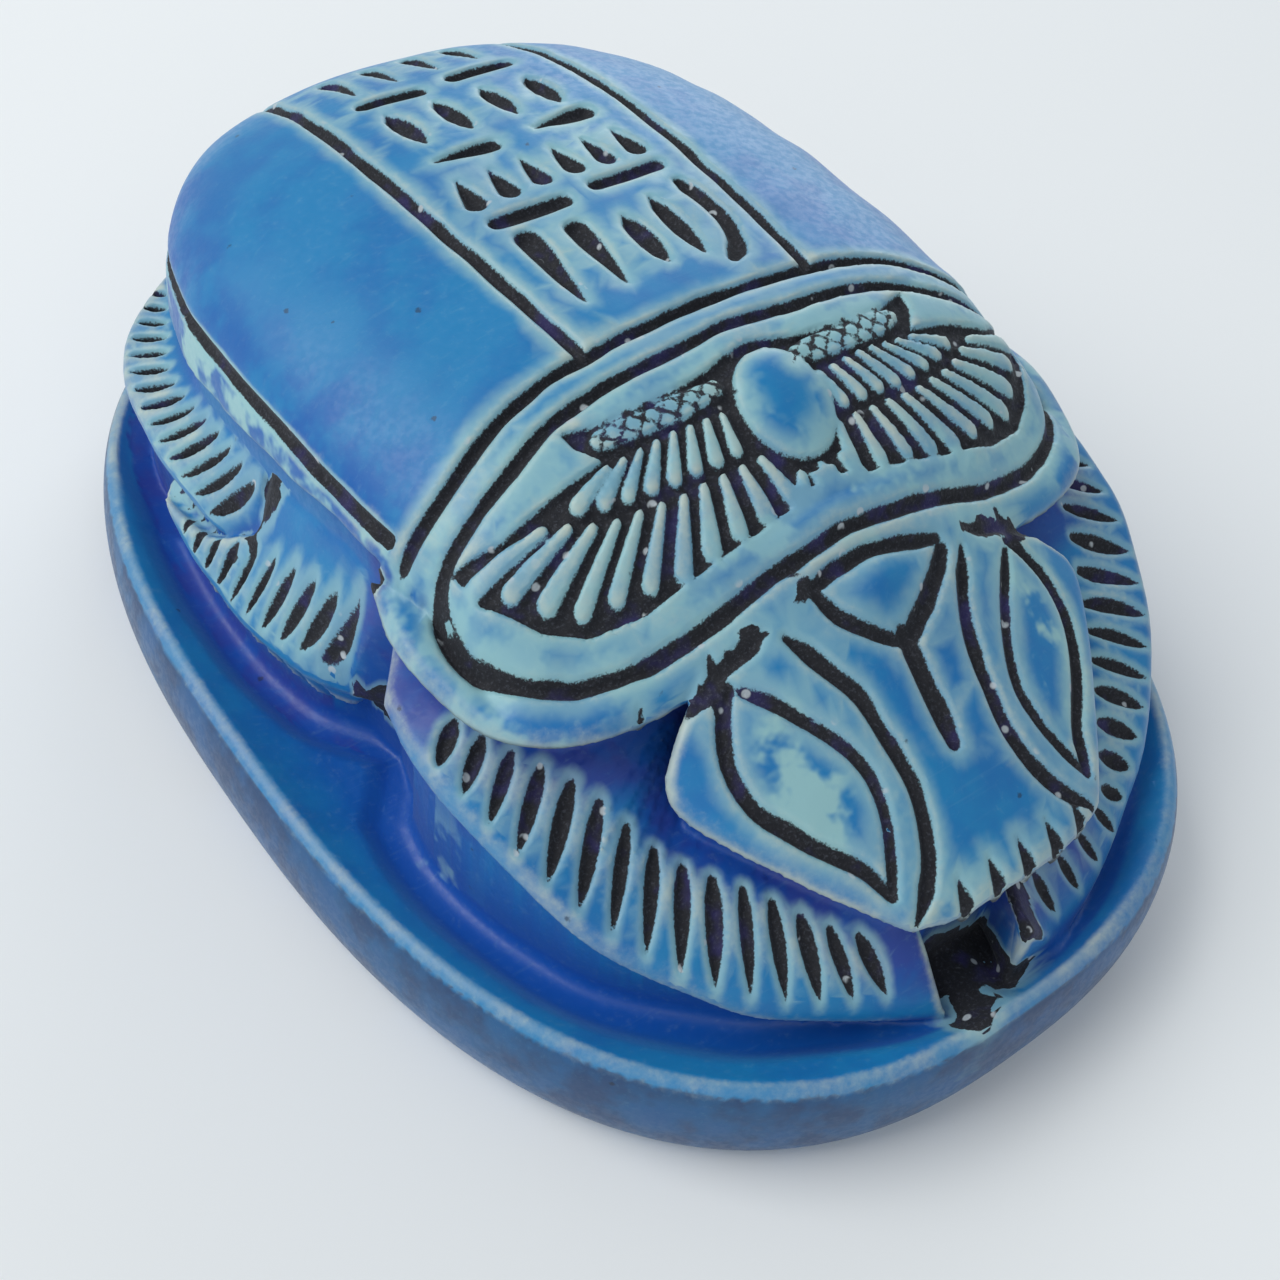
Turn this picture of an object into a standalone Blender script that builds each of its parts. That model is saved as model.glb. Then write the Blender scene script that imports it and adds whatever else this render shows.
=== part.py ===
"""A scarab amulet: a beetle on an oval base slab, carved and glazed in one piece.

Lengths are in millimetres until the mesh is made, which is in metres. The head points to -Y, +Z is up and
the underside rests on Z = 0, with the origin at its middle. The carved top is drawn in plan: every edge and
every groove is a line of the plan, the plan is triangulated between these lines, and each corner is lifted to
the height that the form has there. The rounded rim and the flat underside are extruded from its border.
"""

import math

import bmesh
import bpy
import numpy as np
from mathutils import Vector
from mathutils.geometry import delaunay_2d_cdt

MILLIMETRE = 0.001

# Base slab
BASE_LENGTH = 92.0
BASE_WIDTH = 68.0
BASE_ROUNDNESS = 2.5
RIM_TOP_HEIGHT = 8.7
RIM_WIDEST_HEIGHT = 4.3
RIM_TOP_INSET = 1.45
FOOT_INSET = 1.9
CHANNEL_HEIGHT = 7.0
CHANNEL_WIDTH = 6.0

# Beetle on the slab
LEDGE_AT_SIDES = 4.6
LEDGE_AT_ENDS = 3.2
BEETLE_OFFSET = 0.8
TOTAL_HEIGHT = 35.6

# Wing cases
SHELL_WIDTH = 51.8
SHELL_LENGTH = 67.2
SHELL_MIDDLE = 7.4
SHELL_ROUNDNESS = 2.64
SHELL_EDGE_HEIGHT = 24.6
SHELL_SHOULDER = 2.4
SHELL_CROWN = 2.2

# Thorax
THORAX_REAR = 3.0
THORAX_STRIP = 2.45
THORAX_REACH = 14.2
THORAX_DROP_MIDDLE = 5.9
THORAX_DROP_SIDE = 9.8
THORAX_CURVE = 1.6
THORAX_END_HEIGHT = 24.2
THORAX_END_BLEND = 1.2

# Head
HEAD_REAR_HEIGHT = 28.0
HEAD_REAR = 22.0
HEAD_SLOPE = 0.66
HEAD_CROWN = 0.0085
HEAD_CROWN_GAIN = 0.0003
HEAD_REACH = 22.0
BOSS_RISE = 0.5

# Legs
FORELEG_FRONT_HEIGHT = 7.9
FORELEG_REAR_HEIGHT = 20.8
FORELEG_RISE = 1.25
FORELEG_SLOPE_FRONT = 1.1
FORELEG_SLOPE_REAR = 0.3
RIGHT_FORELEG_SPREAD = 1.02
MIDLEG_HEIGHT = 13.0
HINDLEG_HEIGHT = 15.4
LEGS_TOP_FRONT = 22.9
LEGS_TOP_FALL = 0.18
LEGS_TOP_REACH = 0.97
FOOT_REACH = 0.975
STROKE_REACH = 0.945
LEG_WALL = 0.6
BODY_WALL = 0.45

# Carving
GROOVE_WIDTH = 1.2
GROOVE_DEPTH = 0.9
BORDER_INSET = 0.98
BORDER_WIDTH = 0.85
BORDER_DEPTH = 1.5
HEAD_GROOVE_WIDTH = 1.35
HEAD_GROOVE_DEPTH = 0.9
LID_WIDTH = 1.15
FORELEG_STROKE_WIDTH = 1.1
SIDE_STROKE_WIDTH = 0.85
FORELEG_STROKE_DEPTH = 0.7
SIDE_STROKE_DEPTH = 1.1
LEFT_FORELEG_STROKES = 15
RIGHT_FORELEG_STROKES = 13
MIDLEG_STROKES = 10
HINDLEG_STROKES = 14
NOTCH_WIDTH = 1.4
NOTCH_LENGTH = 2.0
NOTCH_COUNT = 5
NOTCH_SPACING = 2.6
BAND_HALF_WIDTH = 10.1
STROKE_DEPTH = 0.8
HOOK_WIDTH = 1.3

# Winged disc
DISC_MIDDLE = 11.7
DISC_RADIUS = 3.5
DISC_RISE = 0.9
DISC_MARGIN = 0.9
FIELD_DEPTH = 0.75
FIELD_WALL = 0.3
FEATHER_WIDTH = 0.85
FEATHER_TOP = 0.1
INNER_FEATHERS = 7
OUTER_FEATHERS = 11

# Spacing of the plan's corners
EDGE_STEP = 2.4
GROOVE_STEP = 2.8
SUPPORT_STEP = 3.8
SUPPORT_CLEARANCE = 1.25
RIM_CORNERS = 88
RIM_STEPS = 4
CHANNEL_RINGS = (1.3, 2.8, 4.6)

HALF_WIDTH = BASE_WIDTH / 2 - LEDGE_AT_SIDES
HALF_LENGTH = BASE_LENGTH / 2 - LEDGE_AT_ENDS

# Outer edges of the legs on the beetle's right side, as shares of its half width and half length
FORELEG_EDGE = ((0.12, -0.995), (0.255, -0.974), (0.367, -0.939), (0.514, -0.888), (0.622, -0.841),
                (0.765, -0.748), (0.864, -0.654), (0.925, -0.549), (0.963, -0.444), (0.976, -0.339),
                (0.952, -0.238))
FORELEG_INNER = ((0.81, -0.125), (0.6, -0.14), (0.0, -0.3))
MIDLEG_EDGE = ((0.895, -0.061), (0.952, 0.005), (0.986, 0.117), (1.0, 0.234), (0.993, 0.374), (0.955, 0.52))
MIDLEG_INNER = ((0.7, 0.5), (0.7, -0.16), (0.80, -0.13))
HINDLEG_EDGE = ((0.898, 0.215), (0.946, 0.315), (0.952, 0.444), (0.939, 0.584), (0.884, 0.724),
                (0.759, 0.86), (0.578, 0.939), (0.34, 0.986), (0.204, 1.0))
HINDLEG_INNER = ((0.17, 0.84), (0.68, 0.47), (0.78, 0.28))

# Front ends of the forelegs, which leave a gap between them to the left of the middle
RIGHT_FORELEG_FRONT = ((0.041, -0.864), (-0.02, -0.998))
LEFT_FORELEG_FRONT = ((0.19, -0.864), (0.207, -0.986))

# Lines on which the strokes of each leg end, at its outer edge and further in, in the same shares
LEFT_FORELEG_OUTER = ((0.327, -0.932), (0.429, -0.904), (0.568, -0.850), (0.690, -0.783), (0.793, -0.694),
                      (0.871, -0.593), (0.922, -0.486), (0.949, -0.379))
LEFT_FORELEG_INNER = ((0.333, -0.857), (0.401, -0.818), (0.500, -0.734), (0.592, -0.668), (0.670, -0.575),
                      (0.741, -0.491), (0.823, -0.411), (0.878, -0.341))
RIGHT_FORELEG_OUTER = ((0.497, -0.883), (0.643, -0.813), (0.762, -0.743), (0.854, -0.654), (0.905, -0.561),
                       (0.935, -0.463), (0.952, -0.374))
RIGHT_FORELEG_INNER = ((0.442, -0.864), (0.541, -0.769), (0.622, -0.685), (0.704, -0.593), (0.752, -0.516),
                       (0.816, -0.416), (0.871, -0.346))
MIDLEG_OUTER = ((0.905, -0.035), (0.949, 0.044), (0.986, 0.164), (0.993, 0.280), (0.980, 0.364))
MIDLEG_STROKES_INNER = ((0.854, -0.079), (0.895, 0.037), (0.925, 0.168), (0.956, 0.290), (0.956, 0.379))
HINDLEG_OUTER = ((0.929, 0.334), (0.929, 0.430), (0.915, 0.542), (0.888, 0.654), (0.816, 0.769),
                 (0.677, 0.888))
HINDLEG_STROKES_INNER = ((0.867, 0.262), (0.854, 0.383), (0.844, 0.514), (0.823, 0.631), (0.765, 0.727),
                         (0.667, 0.869))

# Outlines of the thorax and the head on the right side, in the same shares
THORAX_EDGE = ((0.0, -0.528), (0.204, -0.53), (0.408, -0.528), (0.585, -0.519), (0.752, -0.488),
               (0.86, -0.415), (0.91, -0.304), (0.916, -0.21), (0.87, -0.11))
HEAD_FRONT = ((0.0, -0.942), (0.17, -0.935), (0.292, -0.909), (0.327, -0.883))
HEAD_SIDE = ((0.327, -0.883), (0.439, -0.794), (0.537, -0.701), (0.605, -0.603))
HEAD_REAR_SIDE = ((0.605, -0.603), (0.561, -0.561), (0.442, -0.514))

# Lines of the head's carving on the right side, in the same shares
BROW_LINE = ((0.262, -0.547), (0.19, -0.591), (0.153, -0.668), (0.143, -0.736), (0.145, -0.785),
             (0.167, -0.841), (0.211, -0.879), (0.272, -0.904))
LOWER_LID = ((0.415, -0.551), (0.463, -0.584), (0.48, -0.619), (0.473, -0.654), (0.449, -0.706),
             (0.405, -0.755), (0.347, -0.801), (0.299, -0.853))
UPPER_LID = ((0.408, -0.558), (0.34, -0.598), (0.286, -0.647), (0.245, -0.701), (0.231, -0.738),
             (0.245, -0.776), (0.272, -0.818), (0.299, -0.853))
NECK_LINE = ((0.0, -0.49), (0.1, -0.489), (0.19, -0.489))
BOSS_ARM = ((0.19, -0.489), (0.143, -0.547), (0.061, -0.596), (0.0, -0.612))
NOSE_LINE = ((0.0, -0.612), (0.0, -0.68), (0.0, -0.748))

# Front groove of the thorax on the right side, in the same shares
THORAX_GROOVE = ((0.0, -0.458), (0.126, -0.459), (0.255, -0.465), (0.408, -0.467), (0.51, -0.465),
                 (0.599, -0.453), (0.704, -0.423), (0.789, -0.374), (0.823, -0.294), (0.82, -0.215))

# Outline of one wing of the disc on the right side, in the same shares
WING_OUTLINE = ((0.03, -0.178), (0.12, -0.187), (0.255, -0.194), (0.34, -0.199), (0.405, -0.192),
                (0.476, -0.175), (0.49, -0.197), (0.435, -0.236), (0.544, -0.245), (0.69, -0.25),
                (0.782, -0.229), (0.742, -0.306), (0.63, -0.392), (0.493, -0.418), (0.3, -0.414),
                (0.1, -0.402), (0.03, -0.402))

# Rows of plain strokes in the band between the wing cases: both ends of the first stroke, both ends of the
# last stroke, the number of strokes and their width
BAND_ROWS = (((-6.4, 0.6), (-6.0, 7.8), (-2.9, 0.8), (-2.6, 7.0), 2, 1.7),
             ((0.8, 1.2), (0.9, 6.6), (3.6, 0.8), (3.9, 7.6), 2, 1.5),
             ((-6.8, 10.2), (-1.6, 10.0), (1.4, 10.4), (6.8, 10.6), 2, 1.3),
             ((-6.8, 12.8), (-6.6, 15.6), (6.8, 13.0), (6.6, 15.8), 6, 1.3),
             ((-6.6, 18.4), (-2.0, 18.2), (1.8, 18.4), (6.4, 18.8), 2, 1.5),
             ((-5.6, 20.8), (-5.8, 26.0), (5.8, 20.8), (6.0, 25.6), 4, 1.5),
             ((-6.2, 28.4), (-1.8, 28.2), (1.6, 28.6), (6.2, 28.8), 2, 1.5),
             ((-5.4, 30.8), (-5.4, 35.2), (5.4, 31.0), (5.4, 35.2), 4, 1.4))
BAND_HOOK = ((7.0, 8.2), (7.3, 3.8), (6.4, 1.0), (5.0, -0.4))


def on_beetle(points):
    """Turn shares of the beetle's half width and half length into millimetres."""
    return np.array(points, float) * (HALF_WIDTH, HALF_LENGTH)


def mirrored(points):
    """Return the points on the other side of the middle, in reverse order."""
    return (np.array(points, float) * (-1, 1))[::-1]


def both_sides(points):
    """Join a line that starts on the middle with its mirror image."""
    return np.vstack([mirrored(points), np.array(points, float)[1:]])


def smooth_line(points, step):
    """Draw a smooth curve through the points, with a corner about every step."""
    knots = np.array(points, float)
    before = 2 * knots[0] - knots[1]
    after = 2 * knots[-1] - knots[-2]
    padded = np.vstack([before, knots, after])
    corners = []
    for a, b, c, d in zip(padded, padded[1:], padded[2:], padded[3:]):
        count = max(1, round(float(np.linalg.norm(c - b)) / step))
        for k in range(count):
            t = k / count
            bend = (2 * a - 5 * b + 4 * c - d) * t * t + (3 * b - a - 3 * c + d) * t ** 3
            corners.append((2 * b + (c - a) * t + bend) / 2)
    corners.append(knots[-1])
    return np.array(corners)


def distance_to_line(line, x, y, closed=False):
    """Distance from each place to a line, and the height of the line's own Y at the nearest point."""
    corners = np.vstack([line, line[:1]]) if closed else line
    nearest = np.full(np.shape(x), np.inf)
    nearest_y = np.zeros(np.shape(x))
    for (ax, ay), (bx, by) in zip(corners[:-1, :2], corners[1:, :2]):
        dx = bx - ax
        dy = by - ay
        along = np.clip(((x - ax) * dx + (y - ay) * dy) / max(dx * dx + dy * dy, 1e-12), 0, 1)
        distance = np.hypot(x - ax - along * dx, y - ay - along * dy)
        closer = distance < nearest
        nearest = np.where(closer, distance, nearest)
        nearest_y = np.where(closer, ay + along * dy, nearest_y)
    return nearest, nearest_y


def is_inside(outline, x, y):
    """Tell for each place whether it lies inside a closed outline."""
    result = np.zeros(np.shape(x), bool)
    for (ax, ay), (bx, by) in zip(outline, np.roll(outline, -1, axis=0)):
        if ay != by:
            crosses = ((ay > y) != (by > y)) & (x < (bx - ax) * (y - ay) / (by - ay) + ax)
            result ^= crosses
    return result


def depth_inside(outline, x, y):
    """Distance to a closed outline, positive inside it and negative outside."""
    distance, _ = distance_to_line(outline, x, y, closed=True)
    return np.where(is_inside(outline, x, y), distance, -distance)


def offset_inwards(outline, distance):
    """Move each corner of an outline inwards by a distance."""
    outline = np.array(outline, float)
    ahead = np.roll(outline, -1, axis=0) - np.roll(outline, 1, axis=0)
    normal = np.stack([-ahead[:, 1], ahead[:, 0]], axis=1)
    normal /= np.maximum(np.linalg.norm(normal, axis=1, keepdims=True), 1e-9)
    area = np.sum(outline[:, 0] * np.roll(outline[:, 1], -1) - outline[:, 1] * np.roll(outline[:, 0], -1))
    return outline + normal * distance * math.copysign(1, area)


def reach(x, y, half_width, half_length, roundness):
    """How far out a place is in a rounded oval: 0 at its middle and 1 on its outline."""
    return (np.abs(x / half_width) ** roundness + np.abs(y / half_length) ** roundness) ** (1 / roundness)


def oval(half_width, half_length, roundness, count, middle=0.0):
    """Corners of a rounded oval, anticlockwise from +X."""
    angle = np.linspace(0, 2 * math.pi, round(count), endpoint=False)
    c = np.cos(angle)
    s = np.sin(angle)
    radius = 1 / reach(c, s, half_width, half_length, roundness)
    return np.stack([radius * c, radius * s + middle], axis=1)


def ramp(distance, width):
    """Rise from 0 to 1 over a width."""
    return np.clip(distance / width, 0, 1)


def channel_height(x, y):
    """Height of the slab's top: a channel that rises to the rim."""
    half_width = BASE_WIDTH / 2 - RIM_TOP_INSET
    half_length = BASE_LENGTH / 2 - RIM_TOP_INSET
    share = np.maximum(reach(x, y, half_width, half_length, BASE_ROUNDNESS), 1e-6)
    from_rim = np.maximum((1 / share - 1) * np.hypot(x, y), 0)
    rise = ramp(CHANNEL_WIDTH - from_rim, CHANNEL_WIDTH) ** 2
    return CHANNEL_HEIGHT + (RIM_TOP_HEIGHT - CHANNEL_HEIGHT) * rise


def within_rim(points, limit):
    """Pull places that come too near the slab's rim back towards its middle."""
    places = np.array(points, float) + (BEETLE_OFFSET, 0)
    share = reach(places[:, 0], places[:, 1], BASE_WIDTH / 2 - RIM_TOP_INSET, BASE_LENGTH / 2 - RIM_TOP_INSET,
                  BASE_ROUNDNESS)
    return places * np.minimum(limit / np.maximum(share, 1e-6), 1)[:, None] - (BEETLE_OFFSET, 0)


def shell_share(x, y):
    """How far out a place is in the plan of the wing cases."""
    return reach(x, y - SHELL_MIDDLE, SHELL_WIDTH / 2, SHELL_LENGTH / 2, SHELL_ROUNDNESS)


def shell_height(x, y):
    """Height of the dome of the wing cases."""
    share = np.minimum(shell_share(x, y), 1)
    rise = (1 - share ** SHELL_SHOULDER) ** (1 / SHELL_CROWN)
    return SHELL_EDGE_HEIGHT + (TOTAL_HEIGHT - SHELL_EDGE_HEIGHT) * rise


def thorax_rear(x):
    """Y of the groove between the wing cases and the thorax."""
    return -THORAX_REAR - 3.5 * (np.abs(x) / (SHELL_WIDTH / 2 - 1.9)) ** 4


def thorax_inner(x):
    """Y of the groove that bounds the thorax's field at the rear."""
    return -THORAX_REAR - THORAX_STRIP - 3.6 * (np.abs(x) / (SHELL_WIDTH / 2 - 1.9)) ** 2.6


def thorax_height(x, y):
    """Height of the thorax, which falls away from the dome towards the head."""
    rear = thorax_inner(x)
    share = np.maximum(rear - y, 0) / THORAX_REACH
    side = np.minimum(np.abs(x) / 20, 1) ** 2
    drop = THORAX_DROP_MIDDLE + (THORAX_DROP_SIDE - THORAX_DROP_MIDDLE) * side
    height = shell_height(x, np.maximum(y, rear)) - drop * share ** THORAX_CURVE
    above_end = (height - THORAX_END_HEIGHT) / THORAX_END_BLEND
    return THORAX_END_HEIGHT + THORAX_END_BLEND * np.logaddexp(0, above_end)


def head_height(x, y):
    """Height of the head's plate, with the small boss between its brows."""
    forward = -HEAD_REAR - y
    crown = HEAD_CROWN + HEAD_CROWN_GAIN * (HEAD_REACH - forward)
    boss = BOSS_RISE * ramp(1 - np.hypot(x / 4.0, (forward - 1.2) / 2.2), 1)
    return HEAD_REAR_HEIGHT - HEAD_SLOPE * forward - crown * x * x + boss


def foreleg_height(x, y):
    """Height of the forelegs, which rise from the front to the thorax."""
    folded = np.where(x > 0, x / RIGHT_FORELEG_SPREAD, -x)
    distance, edge_y = distance_to_line(FORELEG_LINE, folded, y)
    front = FORELEG_LINE[0][1]
    rear = FORELEG_LINE[-1][1]
    share = np.clip((edge_y - front) / (rear - front), 0, 1)
    edge = FORELEG_FRONT_HEIGHT + (FORELEG_REAR_HEIGHT - FORELEG_FRONT_HEIGHT) * (
        np.sin(share * math.pi / 2) ** FORELEG_RISE)
    slope = np.interp(y, (0.93 * front, 0.6 * front), (FORELEG_SLOPE_FRONT, FORELEG_SLOPE_REAR))
    return edge + slope * distance


def side_leg_height(line, edge_height, x, y):
    """Height of a side leg, whose steep plate rises from its edge to just under the wing cases."""
    from_edge, _ = distance_to_line(line, np.abs(x), y)
    share = np.maximum(shell_share(x, y), 1e-6)
    from_shell = np.maximum((share - LEGS_TOP_REACH) / share * np.hypot(x, y - SHELL_MIDDLE), 0)
    top = LEGS_TOP_FRONT - LEGS_TOP_FALL * np.maximum(y, 0)
    return edge_height + (top - edge_height) * from_edge / (from_edge + from_shell + 1e-6)


def midleg_height(x, y):
    """Height of the middle legs."""
    return side_leg_height(MIDLEG_LINE, MIDLEG_HEIGHT, x, y)


def hindleg_height(x, y):
    """Height of the hind legs, which lie over the middle legs."""
    return side_leg_height(HINDLEG_LINE, HINDLEG_HEIGHT, x, y)


def closed_leg(edge, inner):
    """Foot outline of a leg on both sides of the beetle: the wall widens it below its edge."""
    outline = np.vstack([offset_inwards(edge, -LEG_WALL), on_beetle(inner)])
    return [within_rim(outline, FOOT_REACH), within_rim(mirrored(outline), FOOT_REACH)]


def foreleg_outlines():
    """Foot outlines of the two forelegs, each with its own front end."""
    outlines = []
    for front, spread in ((RIGHT_FORELEG_FRONT, RIGHT_FORELEG_SPREAD), (LEFT_FORELEG_FRONT, 1.0)):
        end = on_beetle(front)
        edge = FORELEG_LINE[FORELEG_LINE[:, 0] > end[-1][0] + EDGE_STEP / 2] * (spread, 1)
        outlines.append(offset_inwards(np.vstack([end, edge, on_beetle(FORELEG_INNER)]), -LEG_WALL))
    return [within_rim(outlines[0], FOOT_REACH), within_rim(mirrored(outlines[1]), FOOT_REACH)]


class Tier:
    """A raised part of the beetle: its outlines, its height and the plan width of its wall."""

    def __init__(self, outlines, height, wall):
        self.outlines = [np.array(outline, float) for outline in outlines]
        self.height = height
        self.wall = wall

    def depth(self, x, y):
        """Distance inside the tier, negative outside."""
        return np.max([depth_inside(outline, x, y) for outline in self.outlines], axis=0)


class Stroke:
    """A carved stroke: its outline, the lines of its floor, its half width and its depth."""

    def __init__(self, outline, floors, half_width, depth):
        self.outline = np.array(outline, float)
        self.floors = [np.array(floor, float) for floor in floors]
        self.half_width = half_width
        self.depth = depth

    def cut(self, x, y):
        """Depth of the cut at each place."""
        result = np.zeros(np.shape(x))
        low = self.outline.min(axis=0)
        high = self.outline.max(axis=0)
        near = (x > low[0]) & (x < high[0]) & (y > low[1]) & (y < high[1])
        if near.any():
            inside = depth_inside(self.outline, x[near], y[near])
            result[near] = self.depth * ramp(inside, self.half_width)
        return result


def groove(points, width, depth, ends=0.6, step=GROOVE_STEP):
    """A groove along a smooth line, a little narrower at its ends."""
    line = smooth_line(points, step)
    ahead = np.gradient(line, axis=0)
    normal = np.stack([-ahead[:, 1], ahead[:, 0]], axis=1)
    normal /= np.linalg.norm(normal, axis=1, keepdims=True)
    half = np.full((len(line), 1), width / 2)
    half[0] *= ends
    half[-1] *= ends
    outline = np.vstack([line + normal * half, (line - normal * half)[::-1]])
    return Stroke(outline, [line], width / 2, depth)


def spindle(start, end, width, depth):
    """A tapered stroke from one point to another, widest before its middle."""
    start = np.array(start, float)
    end = np.array(end, float)
    ahead = end - start
    normal = np.array([-ahead[1], ahead[0]]) / np.linalg.norm(ahead)
    left = [start + ahead * t + normal * width / 2 * w for t, w in ((0.2, 0.8), (0.5, 1.0), (0.8, 0.6))]
    right = [start + ahead * t - normal * width / 2 * w for t, w in ((0.8, 0.6), (0.5, 1.0), (0.2, 0.8))]
    floor = [start + ahead * 0.2, start + ahead * 0.5, start + ahead * 0.8]
    return Stroke([start] + left + [end] + right, [floor], width / 2, depth)


FORELEG_LINE = smooth_line(on_beetle(FORELEG_EDGE), EDGE_STEP)
MIDLEG_LINE = smooth_line(on_beetle(MIDLEG_EDGE), EDGE_STEP)
HINDLEG_LINE = smooth_line(on_beetle(HINDLEG_EDGE), EDGE_STEP)


def head_outline():
    """Outline of the head's plate, which runs in under the thorax."""
    half = np.vstack([smooth_line(on_beetle(HEAD_FRONT), EDGE_STEP),
                      smooth_line(on_beetle(HEAD_SIDE), EDGE_STEP)[1:],
                      smooth_line(on_beetle(HEAD_REAR_SIDE), EDGE_STEP)[1:],
                      [(on_beetle(HEAD_REAR_SIDE)[-1][0], -HEAD_REAR + 4)]])
    return both_sides(half)


def thorax_outline():
    """Outline of the thorax, closed under the wing cases."""
    half = smooth_line(on_beetle(THORAX_EDGE), EDGE_STEP)
    rear = np.linspace(half[-1][0] - 2, 0, 9)
    half = np.vstack([half, np.stack([rear, thorax_rear(rear)], axis=1)])
    return np.vstack([half[1:], mirrored(half)[1:]])


def shell_outline():
    """Outline of the wing cases, closed along the thorax."""
    whole = oval(SHELL_WIDTH / 2, SHELL_LENGTH / 2, SHELL_ROUNDNESS, 72, SHELL_MIDDLE)
    kept = whole[whole[:, 1] > -THORAX_REAR - 3]
    start = int(np.argmax(np.linalg.norm(kept - np.roll(kept, 1, axis=0), axis=1)))
    return np.roll(kept, -start, axis=0)


def build_tiers():
    """All raised parts, from the lowest to the highest."""
    return [
        Tier(closed_leg(MIDLEG_LINE, MIDLEG_INNER), midleg_height, LEG_WALL),
        Tier(closed_leg(HINDLEG_LINE, HINDLEG_INNER), hindleg_height, LEG_WALL),
        Tier(foreleg_outlines(), foreleg_height, LEG_WALL),
        Tier([head_outline()], head_height, BODY_WALL),
        Tier([shell_outline()], shell_height, BODY_WALL),
        Tier([thorax_outline()], thorax_height, BODY_WALL),
    ]


def shell_grooves():
    """The border of the wing cases and the two lines of the band between them."""
    border = oval(SHELL_WIDTH / 2 - BORDER_INSET, SHELL_LENGTH / 2 - BORDER_INSET, SHELL_ROUNDNESS, 60,
                  SHELL_MIDDLE)
    border = border[border[:, 1] > -THORAX_REAR - 2]
    start = int(np.argmax(np.linalg.norm(border - np.roll(border, 1, axis=0), axis=1)))
    border = np.roll(border, -start, axis=0)
    grooves = [groove(border, BORDER_WIDTH, BORDER_DEPTH)]
    rear = SHELL_MIDDLE + SHELL_LENGTH / 2 - BORDER_INSET - 1.0
    for side in (-1, 1):
        line = [(side * (BAND_HALF_WIDTH - 0.7), -THORAX_REAR), (side * BAND_HALF_WIDTH, 8.0),
                (side * BAND_HALF_WIDTH, rear)]
        grooves.append(groove(line, GROOVE_WIDTH, GROOVE_DEPTH))
    return grooves


def thorax_grooves():
    """The double line behind the thorax's field and the line along its front."""
    across = np.linspace(-1, 1, 19) * (SHELL_WIDTH / 2 - 1.9)
    rear = np.stack([across, thorax_rear(across)], axis=1)
    inner = np.stack([across * 0.97, thorax_inner(across * 0.97)], axis=1)
    front = both_sides(on_beetle(THORAX_GROOVE))
    return [groove(rear, GROOVE_WIDTH, GROOVE_DEPTH), groove(inner, GROOVE_WIDTH * 0.8, GROOVE_DEPTH),
            groove(front, GROOVE_WIDTH, GROOVE_DEPTH)]


def head_grooves():
    """The brows, lids, nose and neck lines and the row of notches along the front."""
    neck = both_sides(on_beetle(NECK_LINE))
    grooves = [groove(neck, HEAD_GROOVE_WIDTH, HEAD_GROOVE_DEPTH),
               groove(on_beetle(NOSE_LINE), HEAD_GROOVE_WIDTH * 1.2, HEAD_GROOVE_DEPTH, ends=0.9)]
    for line, width in ((BROW_LINE, HEAD_GROOVE_WIDTH), (LOWER_LID, LID_WIDTH), (UPPER_LID, LID_WIDTH),
                        (BOSS_ARM, HEAD_GROOVE_WIDTH)):
        points = on_beetle(line)
        grooves.append(groove(points, width, HEAD_GROOVE_DEPTH))
        grooves.append(groove(mirrored(points), width, HEAD_GROOVE_DEPTH))
    front = on_beetle(HEAD_FRONT)[0][1]
    for k in range(round(NOTCH_COUNT)):
        x = (k - (NOTCH_COUNT - 1) / 2) * NOTCH_SPACING + 1.0
        base = front + 0.1 + 0.02 * x * x
        outline = [(x - NOTCH_WIDTH / 2, base + 0.25), (x + NOTCH_WIDTH / 2, base + 0.25),
                   (x, base + NOTCH_LENGTH)]
        grooves.append(Stroke(outline, [[(x, base + 0.7), (x, base + 0.9)]], 0.5, HEAD_GROOVE_DEPTH))
    return grooves


def places_along(line, count):
    """Even places along a smooth line."""
    fine = smooth_line(on_beetle(line), GROOVE_STEP / 4)
    steps = np.concatenate([[0], np.cumsum(np.linalg.norm(np.diff(fine, axis=0), axis=1))])
    even = np.linspace(0, steps[-1], round(count))
    return np.stack([np.interp(even, steps, fine[:, 0]), np.interp(even, steps, fine[:, 1])], axis=1)


def leg_strokes(outer, inner, count, side, width, depth):
    """A row of tapered strokes across a leg, between an outer and an inner line."""
    starts = places_along(inner, count) * (side, 1)
    ends = within_rim(places_along(outer, count) * (side, 1), STROKE_REACH)
    return [spindle(start, end, width, depth) for start, end in zip(starts, ends)]


def striations():
    """The strokes of all six legs."""
    strokes = []
    strokes += leg_strokes(LEFT_FORELEG_OUTER, LEFT_FORELEG_INNER, LEFT_FORELEG_STROKES, -1,
                           FORELEG_STROKE_WIDTH, FORELEG_STROKE_DEPTH)
    strokes += leg_strokes(RIGHT_FORELEG_OUTER, RIGHT_FORELEG_INNER, RIGHT_FORELEG_STROKES, 1,
                           FORELEG_STROKE_WIDTH, FORELEG_STROKE_DEPTH)
    for side in (-1, 1):
        strokes += leg_strokes(MIDLEG_OUTER, MIDLEG_STROKES_INNER, MIDLEG_STROKES, side,
                               SIDE_STROKE_WIDTH, SIDE_STROKE_DEPTH)
        strokes += leg_strokes(HINDLEG_OUTER, HINDLEG_STROKES_INNER, HINDLEG_STROKES, side,
                               SIDE_STROKE_WIDTH, SIDE_STROKE_DEPTH)
    return strokes


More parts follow.
